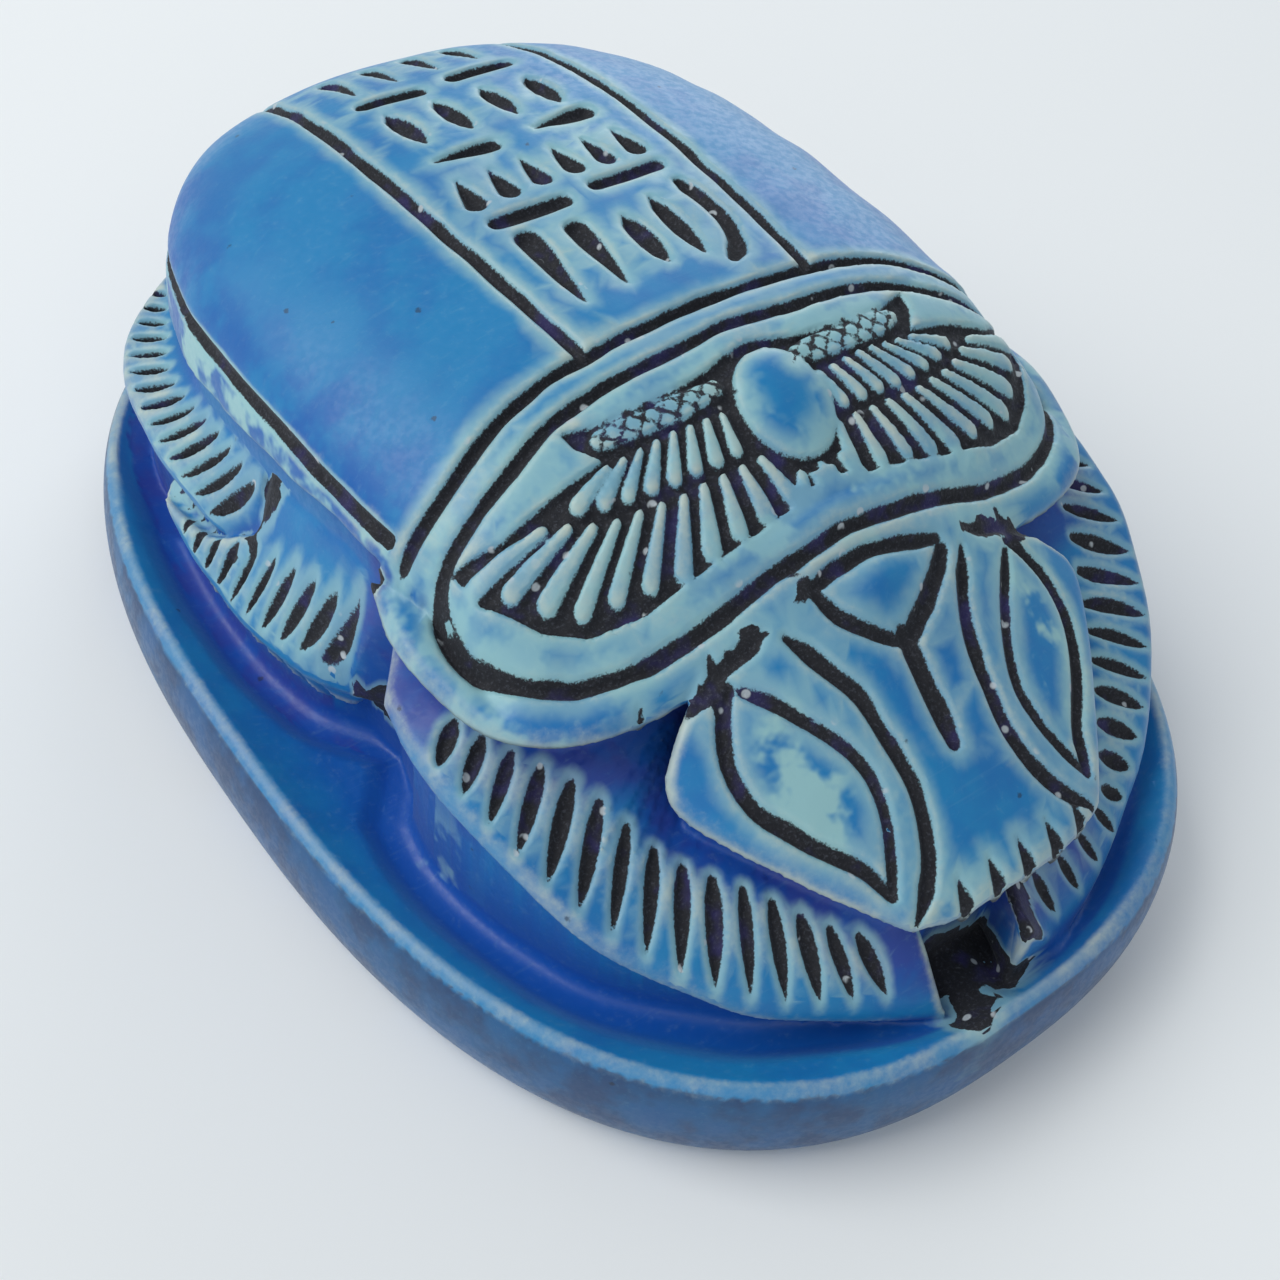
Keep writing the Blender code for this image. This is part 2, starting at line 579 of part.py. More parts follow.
def band_strokes():
    """Rows of plain strokes in the band between the wing cases, and one hook beside them."""
    strokes = [groove(BAND_HOOK, HOOK_WIDTH, STROKE_DEPTH)]
    for first_start, first_end, last_start, last_end, count, width in BAND_ROWS:
        for share in np.linspace(0, 1, round(count)):
            start = np.array(first_start) * (1 - share) + np.array(last_start) * share
            end = np.array(first_end) * (1 - share) + np.array(last_end) * share
            strokes.append(spindle(start, end, width, STROKE_DEPTH))
    return strokes


def pad(outline, floor):
    """A feather left standing in the wing's sunken field."""
    return Stroke(outline, [floor], FEATHER_WIDTH / 2, 1.0)


def feather(root, tip, width):
    """A feather from its root to its tip, wider towards the tip."""
    root = np.array(root, float)
    tip = np.array(tip, float)
    ahead = tip - root
    normal = np.array([-ahead[1], ahead[0]]) / np.linalg.norm(ahead) * width / 2
    outline = [root + normal * 0.7, root - normal * 0.7, tip - normal, tip + normal * 0.2 + ahead * 0.03,
               tip + normal]
    return pad(outline, [root + ahead * 0.12, tip - ahead * 0.12])


def wing_feathers():
    """Two rows of feathers in a fan, and the plain strip along the arm of each wing."""
    pads = []
    inner_roots = on_beetle(((0.13, -0.262), (0.41, -0.252)))
    inner_tips = on_beetle(((0.15, -0.315), (0.59, -0.288)))
    outer_roots = on_beetle(((0.15, -0.327), (0.36, -0.325), (0.6, -0.279)))
    outer_tips = on_beetle(((0.13, -0.39), (0.5, -0.402), (0.755, -0.256)))
    for t in np.linspace(0, 1, round(INNER_FEATHERS)):
        pads.append(feather(inner_roots[0] + (inner_roots[1] - inner_roots[0]) * t,
                            inner_tips[0] + (inner_tips[1] - inner_tips[0]) * t, FEATHER_WIDTH))
    roots = smooth_line(outer_roots, 0.3)
    tips = smooth_line(outer_tips, 0.3)
    for t in np.linspace(0, 1, round(OUTER_FEATHERS)):
        root = roots[round(t * (len(roots) - 1))]
        tip = tips[round(t * (len(tips) - 1))]
        pads.append(feather(root, tip, FEATHER_WIDTH))
    arm = on_beetle(((0.12, -0.232), (0.42, -0.226), (0.44, -0.214), (0.3, -0.213), (0.12, -0.218)))
    pads.append(pad(arm, on_beetle(((0.15, -0.225), (0.4, -0.22)))))
    others = [Stroke(one.outline * (-1, 1), [floor * (-1, 1) for floor in one.floors], one.half_width,
                     one.depth) for one in pads]
    return pads + others


def wing_fields():
    """The sunken fields of the two wings."""
    wing = on_beetle(WING_OUTLINE)
    inner = offset_inwards(wing, FIELD_WALL)
    field = Stroke(wing, [np.vstack([inner, inner[:1]])], FIELD_WALL, FIELD_DEPTH)
    other = Stroke(wing * (-1, 1), [f * (-1, 1) for f in field.floors], FIELD_WALL, FIELD_DEPTH)
    return [field, other]


class Form:
    """The whole carved top: heights, and the lines that its plan is cut along."""

    def __init__(self):
        self.tiers = build_tiers()
        self.strokes = shell_grooves() + thorax_grooves() + head_grooves() + striations() + band_strokes()
        self.fields = wing_fields()
        self.pads = wing_feathers()

    def winged_disc(self, x, y):
        """Height that the winged disc adds to the thorax, mostly negative."""
        sunk = np.max([field.cut(x, y) for field in self.fields], axis=0)
        stands = np.max([feather_pad.cut(x, y) for feather_pad in self.pads], axis=0)
        share = np.hypot(x, y + DISC_MIDDLE) / DISC_RADIUS
        around = share * DISC_RADIUS < DISC_RADIUS + DISC_MARGIN
        sunk = np.where(around, np.maximum(sunk, FIELD_DEPTH), sunk)
        low = -sunk * (1 - stands * (1 - FEATHER_TOP))
        dome = DISC_RISE * np.sqrt(np.clip(1 - share ** 2, 0, 1)) - FIELD_DEPTH * 0.3
        return np.where(share < 1.001, dome, low)

    def height(self, x, y):
        """Height of the top at each place of the plan, with the beetle's own X from its middle."""
        z = channel_height(x + BEETLE_OFFSET, y)
        for tier in self.tiers:
            depth = tier.depth(x, y)
            inside = depth > 0
            if inside.any():
                top = np.maximum(tier.height(x[inside], y[inside]), z[inside])
                z[inside] += (top - z[inside]) * ramp(depth[inside], tier.wall)
        cut = np.max([stroke.cut(x, y) for stroke in self.strokes], axis=0)
        return z - cut + self.winged_disc(x, y)

    def covered(self, points, level):
        """Tell which points lie well inside a tier above the given level."""
        hidden = np.zeros(len(points), bool)
        for tier in self.tiers[level + 1:]:
            hidden |= tier.depth(points[:, 0], points[:, 1]) > tier.wall
        return hidden

    def lines(self):
        """All lines of the plan: walls at foot and top, strokes, feathers and the disc."""
        lines = []
        for level, tier in enumerate(self.tiers):
            for outline in tier.outlines:
                for loop in (outline, offset_inwards(outline, tier.wall)):
                    lines += split_at(np.vstack([loop, loop[:1]]), self.covered(loop, level))
        for stroke in self.strokes + self.fields + self.pads:
            lines.append(np.vstack([stroke.outline, stroke.outline[:1]]))
            lines += stroke.floors
        for radius in (DISC_RADIUS, DISC_RADIUS + 0.02, DISC_RADIUS + DISC_MARGIN, DISC_RADIUS * 0.6):
            ring = oval(radius, radius, 2.0, 20, -DISC_MIDDLE)
            lines.append(np.vstack([ring, ring[:1]]))
        return lines


def split_at(loop, hidden):
    """Cut a closed line into the stretches whose corners aren't hidden."""
    hidden = np.append(hidden, hidden[0])
    stretches = []
    current = []
    for point, is_hidden in zip(loop, hidden):
        if is_hidden:
            if len(current) > 1:
                stretches.append(np.array(current))
            current = []
        else:
            current.append(point)
    if len(current) > 1:
        stretches.append(np.array(current))
    return stretches


def support_points(form, rim):
    """Points between the lines that carry the curve of the dome, the legs and the channel."""
    rows = []
    for share in (0.93, 0.86, 0.76, 0.64, 0.5, 0.34, 0.16):
        count = round(2 * math.pi * share * (SHELL_WIDTH + SHELL_LENGTH) / 4 / SUPPORT_STEP)
        rows.append(oval(share * SHELL_WIDTH / 2, share * SHELL_LENGTH / 2, SHELL_ROUNDNESS, count,
                         SHELL_MIDDLE))
    dome = np.vstack(rows)
    dome = dome[dome[:, 1] > thorax_rear(dome[:, 0])]
    across = np.arange(-HALF_WIDTH, HALF_WIDTH, SUPPORT_STEP * 0.8)
    along = np.arange(-HALF_LENGTH, HALF_LENGTH, SUPPORT_STEP * 0.7)
    grid = np.array([(x + (k % 2) * SUPPORT_STEP * 0.4, y) for k, y in enumerate(along) for x in across])
    grid = grid[(grid[:, 1] < thorax_rear(grid[:, 0])) | (shell_share(grid[:, 0], grid[:, 1]) > 1)]
    low = [oval(BASE_WIDTH / 2 - RIM_TOP_INSET - inset, BASE_LENGTH / 2 - RIM_TOP_INSET - inset,
                BASE_ROUNDNESS, RIM_CORNERS / 2) - (BEETLE_OFFSET, 0) for inset in CHANNEL_RINGS]
    points = np.vstack([dome, grid] + low)
    share = reach(points[:, 0] + BEETLE_OFFSET, points[:, 1], BASE_WIDTH / 2 - RIM_TOP_INSET,
                  BASE_LENGTH / 2 - RIM_TOP_INSET, BASE_ROUNDNESS)
    points = points[share < 0.985]
    taken = np.vstack(form.lines() + [rim])
    kept = []
    for point in points:
        others = np.vstack([taken] + [np.array(kept)]) if kept else taken
        if np.min(np.hypot(others[:, 0] - point[0], others[:, 1] - point[1])) > SUPPORT_CLEARANCE:
            kept.append(point)
    return np.array(kept)


def triangulate_plan(form):
    """Triangulate the plan between its lines and lift it to the form's height."""
    rim = oval(BASE_WIDTH / 2 - RIM_TOP_INSET, BASE_LENGTH / 2 - RIM_TOP_INSET, BASE_ROUNDNESS, RIM_CORNERS)
    rim = rim - (BEETLE_OFFSET, 0)
    corners = []
    edges = []
    index = {}

    def corner(point):
        """Number of a corner, shared by lines that pass through the same place."""
        key = (round(float(point[0]), 2), round(float(point[1]), 2))
        if key not in index:
            index[key] = len(corners)
            corners.append(Vector((float(point[0]), float(point[1]))))
        return index[key]

    for line in [np.vstack([rim, rim[:1]])] + form.lines():
        numbers = [corner(point) for point in line]
        edges += [(a, b) for a, b in zip(numbers, numbers[1:]) if a != b]
    for point in support_points(form, rim):
        corner(point)
    flat, _, faces, _, _, _ = delaunay_2d_cdt(corners, edges, [], 0, 0.01)
    plan = np.array([(point.x, point.y) for point in flat])
    heights = form.height(plan[:, 0], plan[:, 1])
    on_rim = np.abs(reach(plan[:, 0] + BEETLE_OFFSET, plan[:, 1], BASE_WIDTH / 2 - RIM_TOP_INSET,
                          BASE_LENGTH / 2 - RIM_TOP_INSET, BASE_ROUNDNESS) - 1) < 1e-4
    heights[on_rim] = RIM_TOP_HEIGHT
    return np.column_stack([plan[:, 0] + BEETLE_OFFSET, plan[:, 1], heights]), faces


def rim_profile():
    """Inset and height of each ring below the rim's top edge, down to the underside."""
    rings = []
    angles = np.linspace(0, math.pi / 2, round(RIM_STEPS) + 1)[1:]
    for angle in angles:
        rings.append((RIM_TOP_INSET * (1 - math.sin(angle)),
                      RIM_WIDEST_HEIGHT + (RIM_TOP_HEIGHT - RIM_WIDEST_HEIGHT) * math.cos(angle)))
    for angle in angles:
        rings.append((FOOT_INSET * (1 - math.cos(angle)), RIM_WIDEST_HEIGHT * (1 - math.sin(angle))))
    return rings


def build_scarab():
    """Build the amulet as one closed mesh."""
    points, faces = triangulate_plan(Form())
    shape = bmesh.new()
    verts = [shape.verts.new(Vector(point) * MILLIMETRE) for point in points]
    for face in faces:
        shape.faces.new([verts[k] for k in face])
    border = [edge for edge in shape.edges if edge.is_boundary]
    start_width = BASE_WIDTH / 2 - RIM_TOP_INSET
    start_length = BASE_LENGTH / 2 - RIM_TOP_INSET
    for inset, height in rim_profile():
        made = bmesh.ops.extrude_edge_only(shape, edges=border)["geom"]
        border = [item for item in made if isinstance(item, bmesh.types.BMEdge)]
        ring = [item for item in made if isinstance(item, bmesh.types.BMVert)]
        width = BASE_WIDTH / 2 - inset
        length = BASE_LENGTH / 2 - inset
        for vert in ring:
            vert.co.x *= width / start_width
            vert.co.y *= length / start_length
            vert.co.z = height * MILLIMETRE
        start_width = width
        start_length = length
    bmesh.ops.edgeloop_fill(shape, edges=border)
    bmesh.ops.triangulate(shape, faces=shape.faces[:])
    bmesh.ops.recalc_face_normals(shape, faces=shape.faces[:])
    mesh = bpy.data.meshes.new("scarab_amulet")
    shape.to_mesh(mesh)
    shape.free()
    mesh.shade_smooth()
    mesh.set_sharp_from_angle(angle=math.radians(32))
    amulet = bpy.data.objects.new("scarab_amulet", mesh)
    bpy.context.scene.collection.objects.link(amulet)
    return amulet


def blue_glaze():
    """Blue glaze of a soft gloss."""
    material = bpy.data.materials.new("blue_glaze")
    material.use_nodes = True
    shader = material.node_tree.nodes["Principled BSDF"]
    shader.inputs["Base Color"].default_value = (0.03, 0.25, 0.55, 1.0)
    shader.inputs["Roughness"].default_value = 0.42
    shader.inputs["Metallic"].default_value = 0.0
    return material


def main():
    """Clear the scene and build the amulet."""
    for item in list(bpy.data.objects):
        bpy.data.objects.remove(item, do_unlink=True)
    amulet = build_scarab()
    amulet.data.materials.append(blue_glaze())


main()
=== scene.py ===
"""Looks of a blue glazed scarab amulet, carved in relief, on a plain pale floor.

The carving is planned in millimetres, in plan view from the beetle's own middle: the head points to -Y and
+Z is up. Each raised part of the beetle is a tier with an outline, a top and a wall. The tiers are joined on
a grid of distances, and the surface of that grid is the amulet. Node trees set out the strokes of the
carving.
"""

import logging
import math
from collections.abc import Sequence
from dataclasses import dataclass, field
from enum import Enum

import bpy
import numpy as np
from mathutils import Matrix, Vector


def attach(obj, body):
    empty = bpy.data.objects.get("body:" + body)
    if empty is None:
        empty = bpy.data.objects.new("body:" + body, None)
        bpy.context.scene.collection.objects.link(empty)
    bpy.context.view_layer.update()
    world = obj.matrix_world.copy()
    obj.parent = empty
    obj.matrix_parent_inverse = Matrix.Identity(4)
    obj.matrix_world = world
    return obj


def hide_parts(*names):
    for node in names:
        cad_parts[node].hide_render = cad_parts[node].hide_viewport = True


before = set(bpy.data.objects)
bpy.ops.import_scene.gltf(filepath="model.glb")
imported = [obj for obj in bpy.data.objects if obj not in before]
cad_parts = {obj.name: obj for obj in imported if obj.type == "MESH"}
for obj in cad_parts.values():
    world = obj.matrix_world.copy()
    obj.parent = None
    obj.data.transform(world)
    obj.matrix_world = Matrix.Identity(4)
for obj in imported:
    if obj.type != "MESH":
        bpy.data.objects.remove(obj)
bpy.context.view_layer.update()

LOG = logging.getLogger("scarab")
MILLIMETRE = 0.001
Points = Sequence[tuple[float, float]] | np.ndarray
Socket = bpy.types.NodeSocket


class Side(Enum):
    """The beetle's two sides."""

    LEFT = -1
    RIGHT = 1


class Carving(Enum):
    """What a stroke does to the surface."""

    GROOVE = "groove"
    STANDING = "standing"
    BLOT = "blot"


class Layer(Enum):
    """Which parts a carving cuts: those above, or the legs and the slab below them."""

    UPPER = "upper"
    LOWER = "lower"


# Plan geometry


def smooth_line(points: Points, step: float) -> np.ndarray:
    """Draw a smooth curve through points.

    Args:
        points: The points that the curve passes through.
        step: About how far apart the curve's corners are.

    Returns:
        The corners, one per row.
    """
    knots = np.array(points, float)
    padded = np.vstack([2 * knots[0] - knots[1], knots, 2 * knots[-1] - knots[-2]])
    corners = []
    for a, b, c, d in zip(padded, padded[1:], padded[2:], padded[3:]):
        count = max(1, round(float(np.linalg.norm(c - b)) / step))
        for k in range(count):
            t = k / count
            bend = (2 * a - 5 * b + 4 * c - d) * t * t + (3 * b - a - 3 * c + d) * t**3
            corners.append((2 * b + (c - a) * t + bend) / 2)
    corners.append(knots[-1])
    return np.array(corners)


def on_side(points: Points, side: Side) -> np.ndarray:
    """Return points of the right side on a side."""
    return np.array(points, float) * (side.value, 1)


def both_sides(points: Points) -> np.ndarray:
    """Join a line that starts on the middle with its mirror image."""
    return np.vstack([on_side(points, Side.LEFT)[::-1], points[1:]])


def nearest_on(line: np.ndarray, x: np.ndarray, y: np.ndarray) -> tuple[np.ndarray, np.ndarray]:
    """Find the distance from each place to a line.

    Args:
        line: Corners of the line.
        x: Places across.
        y: Places along.

    Returns:
        The distance, and the line's own Y at the nearest point.
    """
    nearest = np.full(x.shape, np.inf)
    nearest_y = np.zeros(x.shape)
    for (ax, ay), (bx, by) in zip(line[:-1], line[1:]):
        dx, dy = bx - ax, by - ay
        along = np.clip(((x - ax) * dx + (y - ay) * dy) / max(dx * dx + dy * dy, 1e-12), 0, 1)
        distance = np.hypot(x - ax - along * dx, y - ay - along * dy)
        closer = distance < nearest
        nearest = np.where(closer, distance, nearest)
        nearest_y = np.where(closer, ay + along * dy, nearest_y)
    return nearest, nearest_y


def depth_inside(outline: np.ndarray, x: np.ndarray, y: np.ndarray) -> np.ndarray:
    """Distance to a closed outline, positive inside it and negative outside.

    Args:
        outline: Corners of the shape.
        x: Places across.
        y: Places along.

    Returns:
        The distance to the outline, negative outside.
    """
    distance, _ = nearest_on(np.vstack([outline, outline[:1]]), x, y)
    inside = np.zeros(x.shape, bool)
    for (ax, ay), (bx, by) in zip(outline, np.roll(outline, -1, axis=0)):
        if ay != by:
            inside ^= ((ay > y) != (by > y)) & (x < (bx - ax) * (y - ay) / (by - ay) + ax)
    return np.where(inside, distance, -distance)


def reach(x: np.ndarray, y: np.ndarray, half_width: float, half_length: float,
          roundness: float) -> np.ndarray:
    """How far out a place is in a rounded oval: 0 at its middle and 1 on its outline."""
    return (np.abs(x / half_width) ** roundness + np.abs(y / half_length) ** roundness) ** (1 / roundness)


def ramp(value: np.ndarray, low: float, high: float) -> np.ndarray:
    """Rise smoothly from 0 at the low value to 1 at the high value."""
    share = np.clip((value - low) / (high - low), 0, 1)
    return share * share * (3 - 2 * share)


def rounded_least(a: np.ndarray, b: np.ndarray, radius: float) -> np.ndarray:
    """The lesser of two fields, with their edge rounded."""
    blend = np.maximum(radius - np.abs(a - b), 0) / radius
    return np.minimum(a, b) - blend * blend * radius / 4


def rounded_most(a: np.ndarray, b: np.ndarray, radius: float) -> np.ndarray:
    """The greater of two fields, with a fillet between them."""
    return -rounded_least(-a, -b, radius)


def ripples(x: np.ndarray, y: np.ndarray, length: float, seed: int) -> np.ndarray:
    """Smooth random waves between about -1 and 1.

    Args:
        x: Places across.
        y: Places along.
        length: Wave length.
        seed: Seed of the waves.

    Returns:
        The height of the waves at each place.
    """
    random = np.random.default_rng(seed)
    total = np.zeros(x.shape)
    for _ in range(7):
        angle = random.uniform(0, 2 * math.pi)
        phase = random.uniform(0, 2 * math.pi)
        rate = 2 * math.pi / length * random.uniform(0.7, 1.5)
        total += np.sin((x * math.cos(angle) + y * math.sin(angle)) * rate + phase)
    return total / 3.5


# Node trees that set out the strokes


class TreeMaker:
    """A geometry node tree under construction, with short ways to add nodes and links."""

    def __init__(self, name: str) -> None:
        """Start a tree with one geometry output.

        Args:
            name: Name of the tree.
        """
        self.tree = bpy.data.node_groups.new(name, "GeometryNodeTree")
        self.tree.interface.new_socket("Geometry", in_out="OUTPUT", socket_type="NodeSocketGeometry")
        self.identifiers: dict[str, str] = {}
        self.inputs = self.tree.nodes.new("NodeGroupInput")

    def declare(self, name: str, kind: str) -> None:
        """Add a named input of a kind, such as Float."""
        made = self.tree.interface.new_socket(name, in_out="INPUT", socket_type=f"NodeSocket{kind}")
        self.identifiers[name] = made.identifier

    def given(self, name: str) -> Socket:
        """Return the socket of a named input."""
        return self.inputs.outputs[name]

    def add(self, kind: str, links: dict | None = None, **settings: object) -> bpy.types.Node:
        """Add a node.

        Args:
            kind: The node's type.
            links: Input name or number to a socket or to a plain value.
            **settings: Properties of the node.

        Returns:
            The node.
        """
        made = self.tree.nodes.new(kind)
        for name, value in settings.items():
            setattr(made, name, value)
        for name, value in (links or {}).items():
            if isinstance(value, Socket):
                self.tree.links.new(value, made.inputs[name])
            else:
                made.inputs[name].default_value = value
        return made

    def store(self, name: str, geometry: Socket, value: Socket) -> Socket:
        """Store a value on the points of a geometry, and return that geometry.

        Args:
            name: Name of the attribute.
            geometry: Geometry that takes it.
            value: Value for each point.

        Returns:
            The geometry with the attribute.
        """
        stored = self.add("GeometryNodeStoreNamedAttribute",
                          {"Geometry": geometry, "Name": name, "Value": value},
                          data_type="FLOAT", domain="POINT")
        return stored.outputs[0]

    def close(self, geometry: Socket) -> None:
        """End the tree in Realize Instances and Set Material.

        Args:
            geometry: Geometry that the tree gives out.
        """
        realized = self.add("GeometryNodeRealizeInstances", {0: geometry})
        coated = self.add("GeometryNodeSetMaterial", {"Geometry": realized.outputs[0],
                                                      "Material": self.given("Material")})
        output = self.tree.nodes.new("NodeGroupOutput")
        self.tree.links.new(coated.outputs[0], output.inputs[0])


def guide_curve(name: str, lines: Sequence[np.ndarray]) -> bpy.types.Object:
    """Make a hidden guide of straight-stepped lines in plan.

    Args:
        name: Name of the guide.
        lines: The corners of each line.

    Returns:
        The curve object.
    """
    curve = bpy.data.curves.new(name, "CURVE")
    curve.dimensions = "3D"
    for line in lines:
        spline = curve.splines.new("POLY")
        spline.points.add(len(line) - 1)
        corners = np.column_stack([line, np.zeros(len(line)), np.ones(len(line))])
        spline.points.foreach_set("co", corners.ravel())
    guide = bpy.data.objects.new(name, curve)
    bpy.context.scene.collection.objects.link(guide)
    return guide


@dataclass
class StrokeSet:
    """Straight pieces of strokes: their ends in plan, the half width at each end, and how they are cut."""

    starts: np.ndarray
    ends: np.ndarray
    start_radii: np.ndarray
    end_radii: np.ndarray
    depth: float
    kind: Carving


@dataclass
class StrokeTrees:
    """The two node trees that set out the carving, and what they have made."""

    material: bpy.types.Material
    made: list[StrokeSet] = field(default_factory=list)

    def __post_init__(self) -> None:
        """Build both trees."""
        self.row = self._row_tree()
        self.path = self._path_tree()

    def _row_tree(self) -> TreeMaker:
        """Build the tree that sets a row of strokes between two guides.

        Returns:
            The tree under its maker.
        """
        maker = TreeMaker("stroke_row")
        for name, kind in (("Outer Guide", "Object"), ("Inner Guide", "Object"), ("Stroke", "Object"),
                           ("Count", "Int"), ("Width", "Float"), ("Unevenness", "Float"), ("Seed", "Int"),
                           ("Material", "Material")):
            maker.declare(name, kind)
        ends = []
        for name in ("Outer Guide", "Inner Guide"):
            guide = maker.add("GeometryNodeObjectInfo", {"Object": maker.given(name)})
            ends.append(maker.add("GeometryNodeCurveToPoints", {"Curve": guide.outputs["Geometry"],
                                                                "Count": maker.given("Count")}, mode="COUNT"))
        place = maker.add("GeometryNodeInputPosition")
        index = maker.add("GeometryNodeInputIndex")
        inner = maker.add("GeometryNodeSampleIndex",
                          {"Geometry": ends[1].outputs[0], "Value": place.outputs[0],
                           "Index": index.outputs[0]}, data_type="FLOAT_VECTOR")
        across = maker.add("ShaderNodeVectorMath", {0: inner.outputs[0], 1: place.outputs[0]},
                           operation="SUBTRACT")
        length = maker.add("ShaderNodeVectorMath", {0: across.outputs[0]}, operation="LENGTH")
        turn = maker.add("FunctionNodeAlignRotationToVector", {"Vector": across.outputs[0]}, axis="X")
        uneven = maker.add("FunctionNodeRandomValue", {2: -1.0, 3: 1.0, "Seed": maker.given("Seed")},
                           data_type="FLOAT")
        share = maker.add("ShaderNodeMath", {0: uneven.outputs[1], 1: maker.given("Unevenness"), 2: 1.0},
                          operation="MULTIPLY_ADD")
        width = maker.add("ShaderNodeMath", {0: share.outputs[0], 1: maker.given("Width")},
                          operation="MULTIPLY")
        wide = maker.store("width", ends[0].outputs[0], width.outputs[0])
        size = maker.add("ShaderNodeCombineXYZ", {0: length.outputs["Value"], 1: width.outputs[0], 2: 1.0})
        stroke = maker.add("GeometryNodeObjectInfo", {"Object": maker.given("Stroke")})
        placed = maker.add("GeometryNodeInstanceOnPoints",
                           {"Points": wide, "Instance": stroke.outputs["Geometry"],
                            "Rotation": turn.outputs[0], "Scale": size.outputs[0]})
        maker.close(placed.outputs[0])
        return maker

    def _path_tree(self) -> TreeMaker:
        """Build the tree that follows a path with a groove that tapers at its ends.

        Returns:
            The tree under its maker.
        """
        maker = TreeMaker("stroke_path")
        for name, kind in (("Guide", "Object"), ("Step", "Float"), ("Width", "Float"), ("Taper", "Float"),
                           ("Wander", "Float"), ("Seed", "Int"), ("Material", "Material")):
            maker.declare(name, kind)
        guide = maker.add("GeometryNodeObjectInfo", {"Object": maker.given("Guide")})
        stepped = maker.add("GeometryNodeResampleCurve", {"Curve": guide.outputs["Geometry"],
                                                          "Length": maker.given("Step")}, mode="LENGTH")
        along = maker.add("GeometryNodeSplineParameter")
        left = maker.add("ShaderNodeMath", {0: 1.0, 1: along.outputs["Factor"]}, operation="SUBTRACT")
        nearer = maker.add("ShaderNodeMath", {0: along.outputs["Factor"], 1: left.outputs[0]},
                           operation="MINIMUM")
        full = maker.add("ShaderNodeMapRange", {"Value": nearer.outputs[0], 1: 0.0, 2: 0.1,
                                                3: maker.given("Taper"), 4: 1.0})
        place = maker.add("GeometryNodeInputPosition")
        seed = maker.add("ShaderNodeMath", {0: maker.given("Seed"), 1: 3.7}, operation="MULTIPLY")
        noise = maker.add("ShaderNodeTexNoise",
                          {"Vector": place.outputs[0], "W": seed.outputs[0], "Scale": 0.45},
                          noise_dimensions="4D")
        swing = maker.add("ShaderNodeMapRange",
                          {"Value": noise.outputs["Fac"], 1: 0.25, 2: 0.75, 3: 0.8, 4: 1.2})
        share = maker.add("ShaderNodeMath", {0: full.outputs[0], 1: swing.outputs[0]}, operation="MULTIPLY")
        shared = maker.store("share", stepped.outputs[0], share.outputs[0])
        wide = maker.store("width", shared, maker.given("Width"))
        centred = maker.add("ShaderNodeVectorMath", {0: noise.outputs["Color"], 1: (0.5, 0.5, 0.5)},
                            operation="SUBTRACT")
        offset = maker.add("ShaderNodeVectorMath", {0: centred.outputs[0], "Scale": maker.given("Wander")},
                           operation="SCALE")
        moved = maker.add("GeometryNodeSetPosition", {"Geometry": wide, "Offset": offset.outputs[0]})
        line = maker.add("GeometryNodeCurveToMesh", {"Curve": moved.outputs[0]})
        maker.close(line.outputs[0])
        return maker

    def unit_stroke(self, name: str, shares: Sequence[float]) -> bpy.types.Object:
        """Make a stroke of unit length along X.

        Args:
            name: Name of the stroke's object.
            shares: Half width at even steps along it, as shares of the half width of the row's strokes.

        Returns:
            The object, a chain of edges.
        """
        mesh = bpy.data.meshes.new(name)
        last = len(shares) - 1
        mesh.from_pydata([(k / last, 0, 0) for k in range(last + 1)], [(k, k + 1) for k in range(last)], [])
        mesh.attributes.new("share", "FLOAT", "POINT").data.foreach_set("value", list(shares))
        stroke = bpy.data.objects.new(name, mesh)
        bpy.context.scene.collection.objects.link(stroke)
        return stroke

    def _evaluate(self, maker: TreeMaker, values: dict[str, object], depth: float, kind: Carving) -> None:
        """Run a tree once and keep its strokes.

        Args:
            maker: The tree.
            values: Values of its named inputs.
            depth: Depth of the cut.
            kind: What the strokes do.
        """
        host = bpy.data.objects.new("strokes", bpy.data.meshes.new("strokes"))
        bpy.context.scene.collection.objects.link(host)
        modifier = host.modifiers.new("strokes", "NODES")
        modifier.node_group = maker.tree
        for name, value in {**values, "Material": self.material}.items():
            modifier[maker.identifiers[name]] = value
        graph = bpy.context.evaluated_depsgraph_get()
        mesh = bpy.data.meshes.new_from_object(host.evaluated_get(graph), preserve_all_data_layers=True,
                                               depsgraph=graph)
        places = np.zeros(len(mesh.vertices) * 3)
        mesh.vertices.foreach_get("co", places)
        places = places.reshape(-1, 3)[:, :2]
        radii = np.ones(len(mesh.vertices))
        for name in ("share", "width"):
            values_read = np.zeros(len(mesh.vertices))
            mesh.attributes[name].data.foreach_get("value", values_read)
            radii *= values_read
        edges = np.zeros(len(mesh.edges) * 2, int)
        mesh.edges.foreach_get("vertices", edges)
        first, last = edges.reshape(-1, 2).T
        radii /= 2
        self.made.append(StrokeSet(places[first], places[last], radii[first], radii[last], depth, kind))
        bpy.data.objects.remove(host, do_unlink=True)
        bpy.data.meshes.remove(mesh)

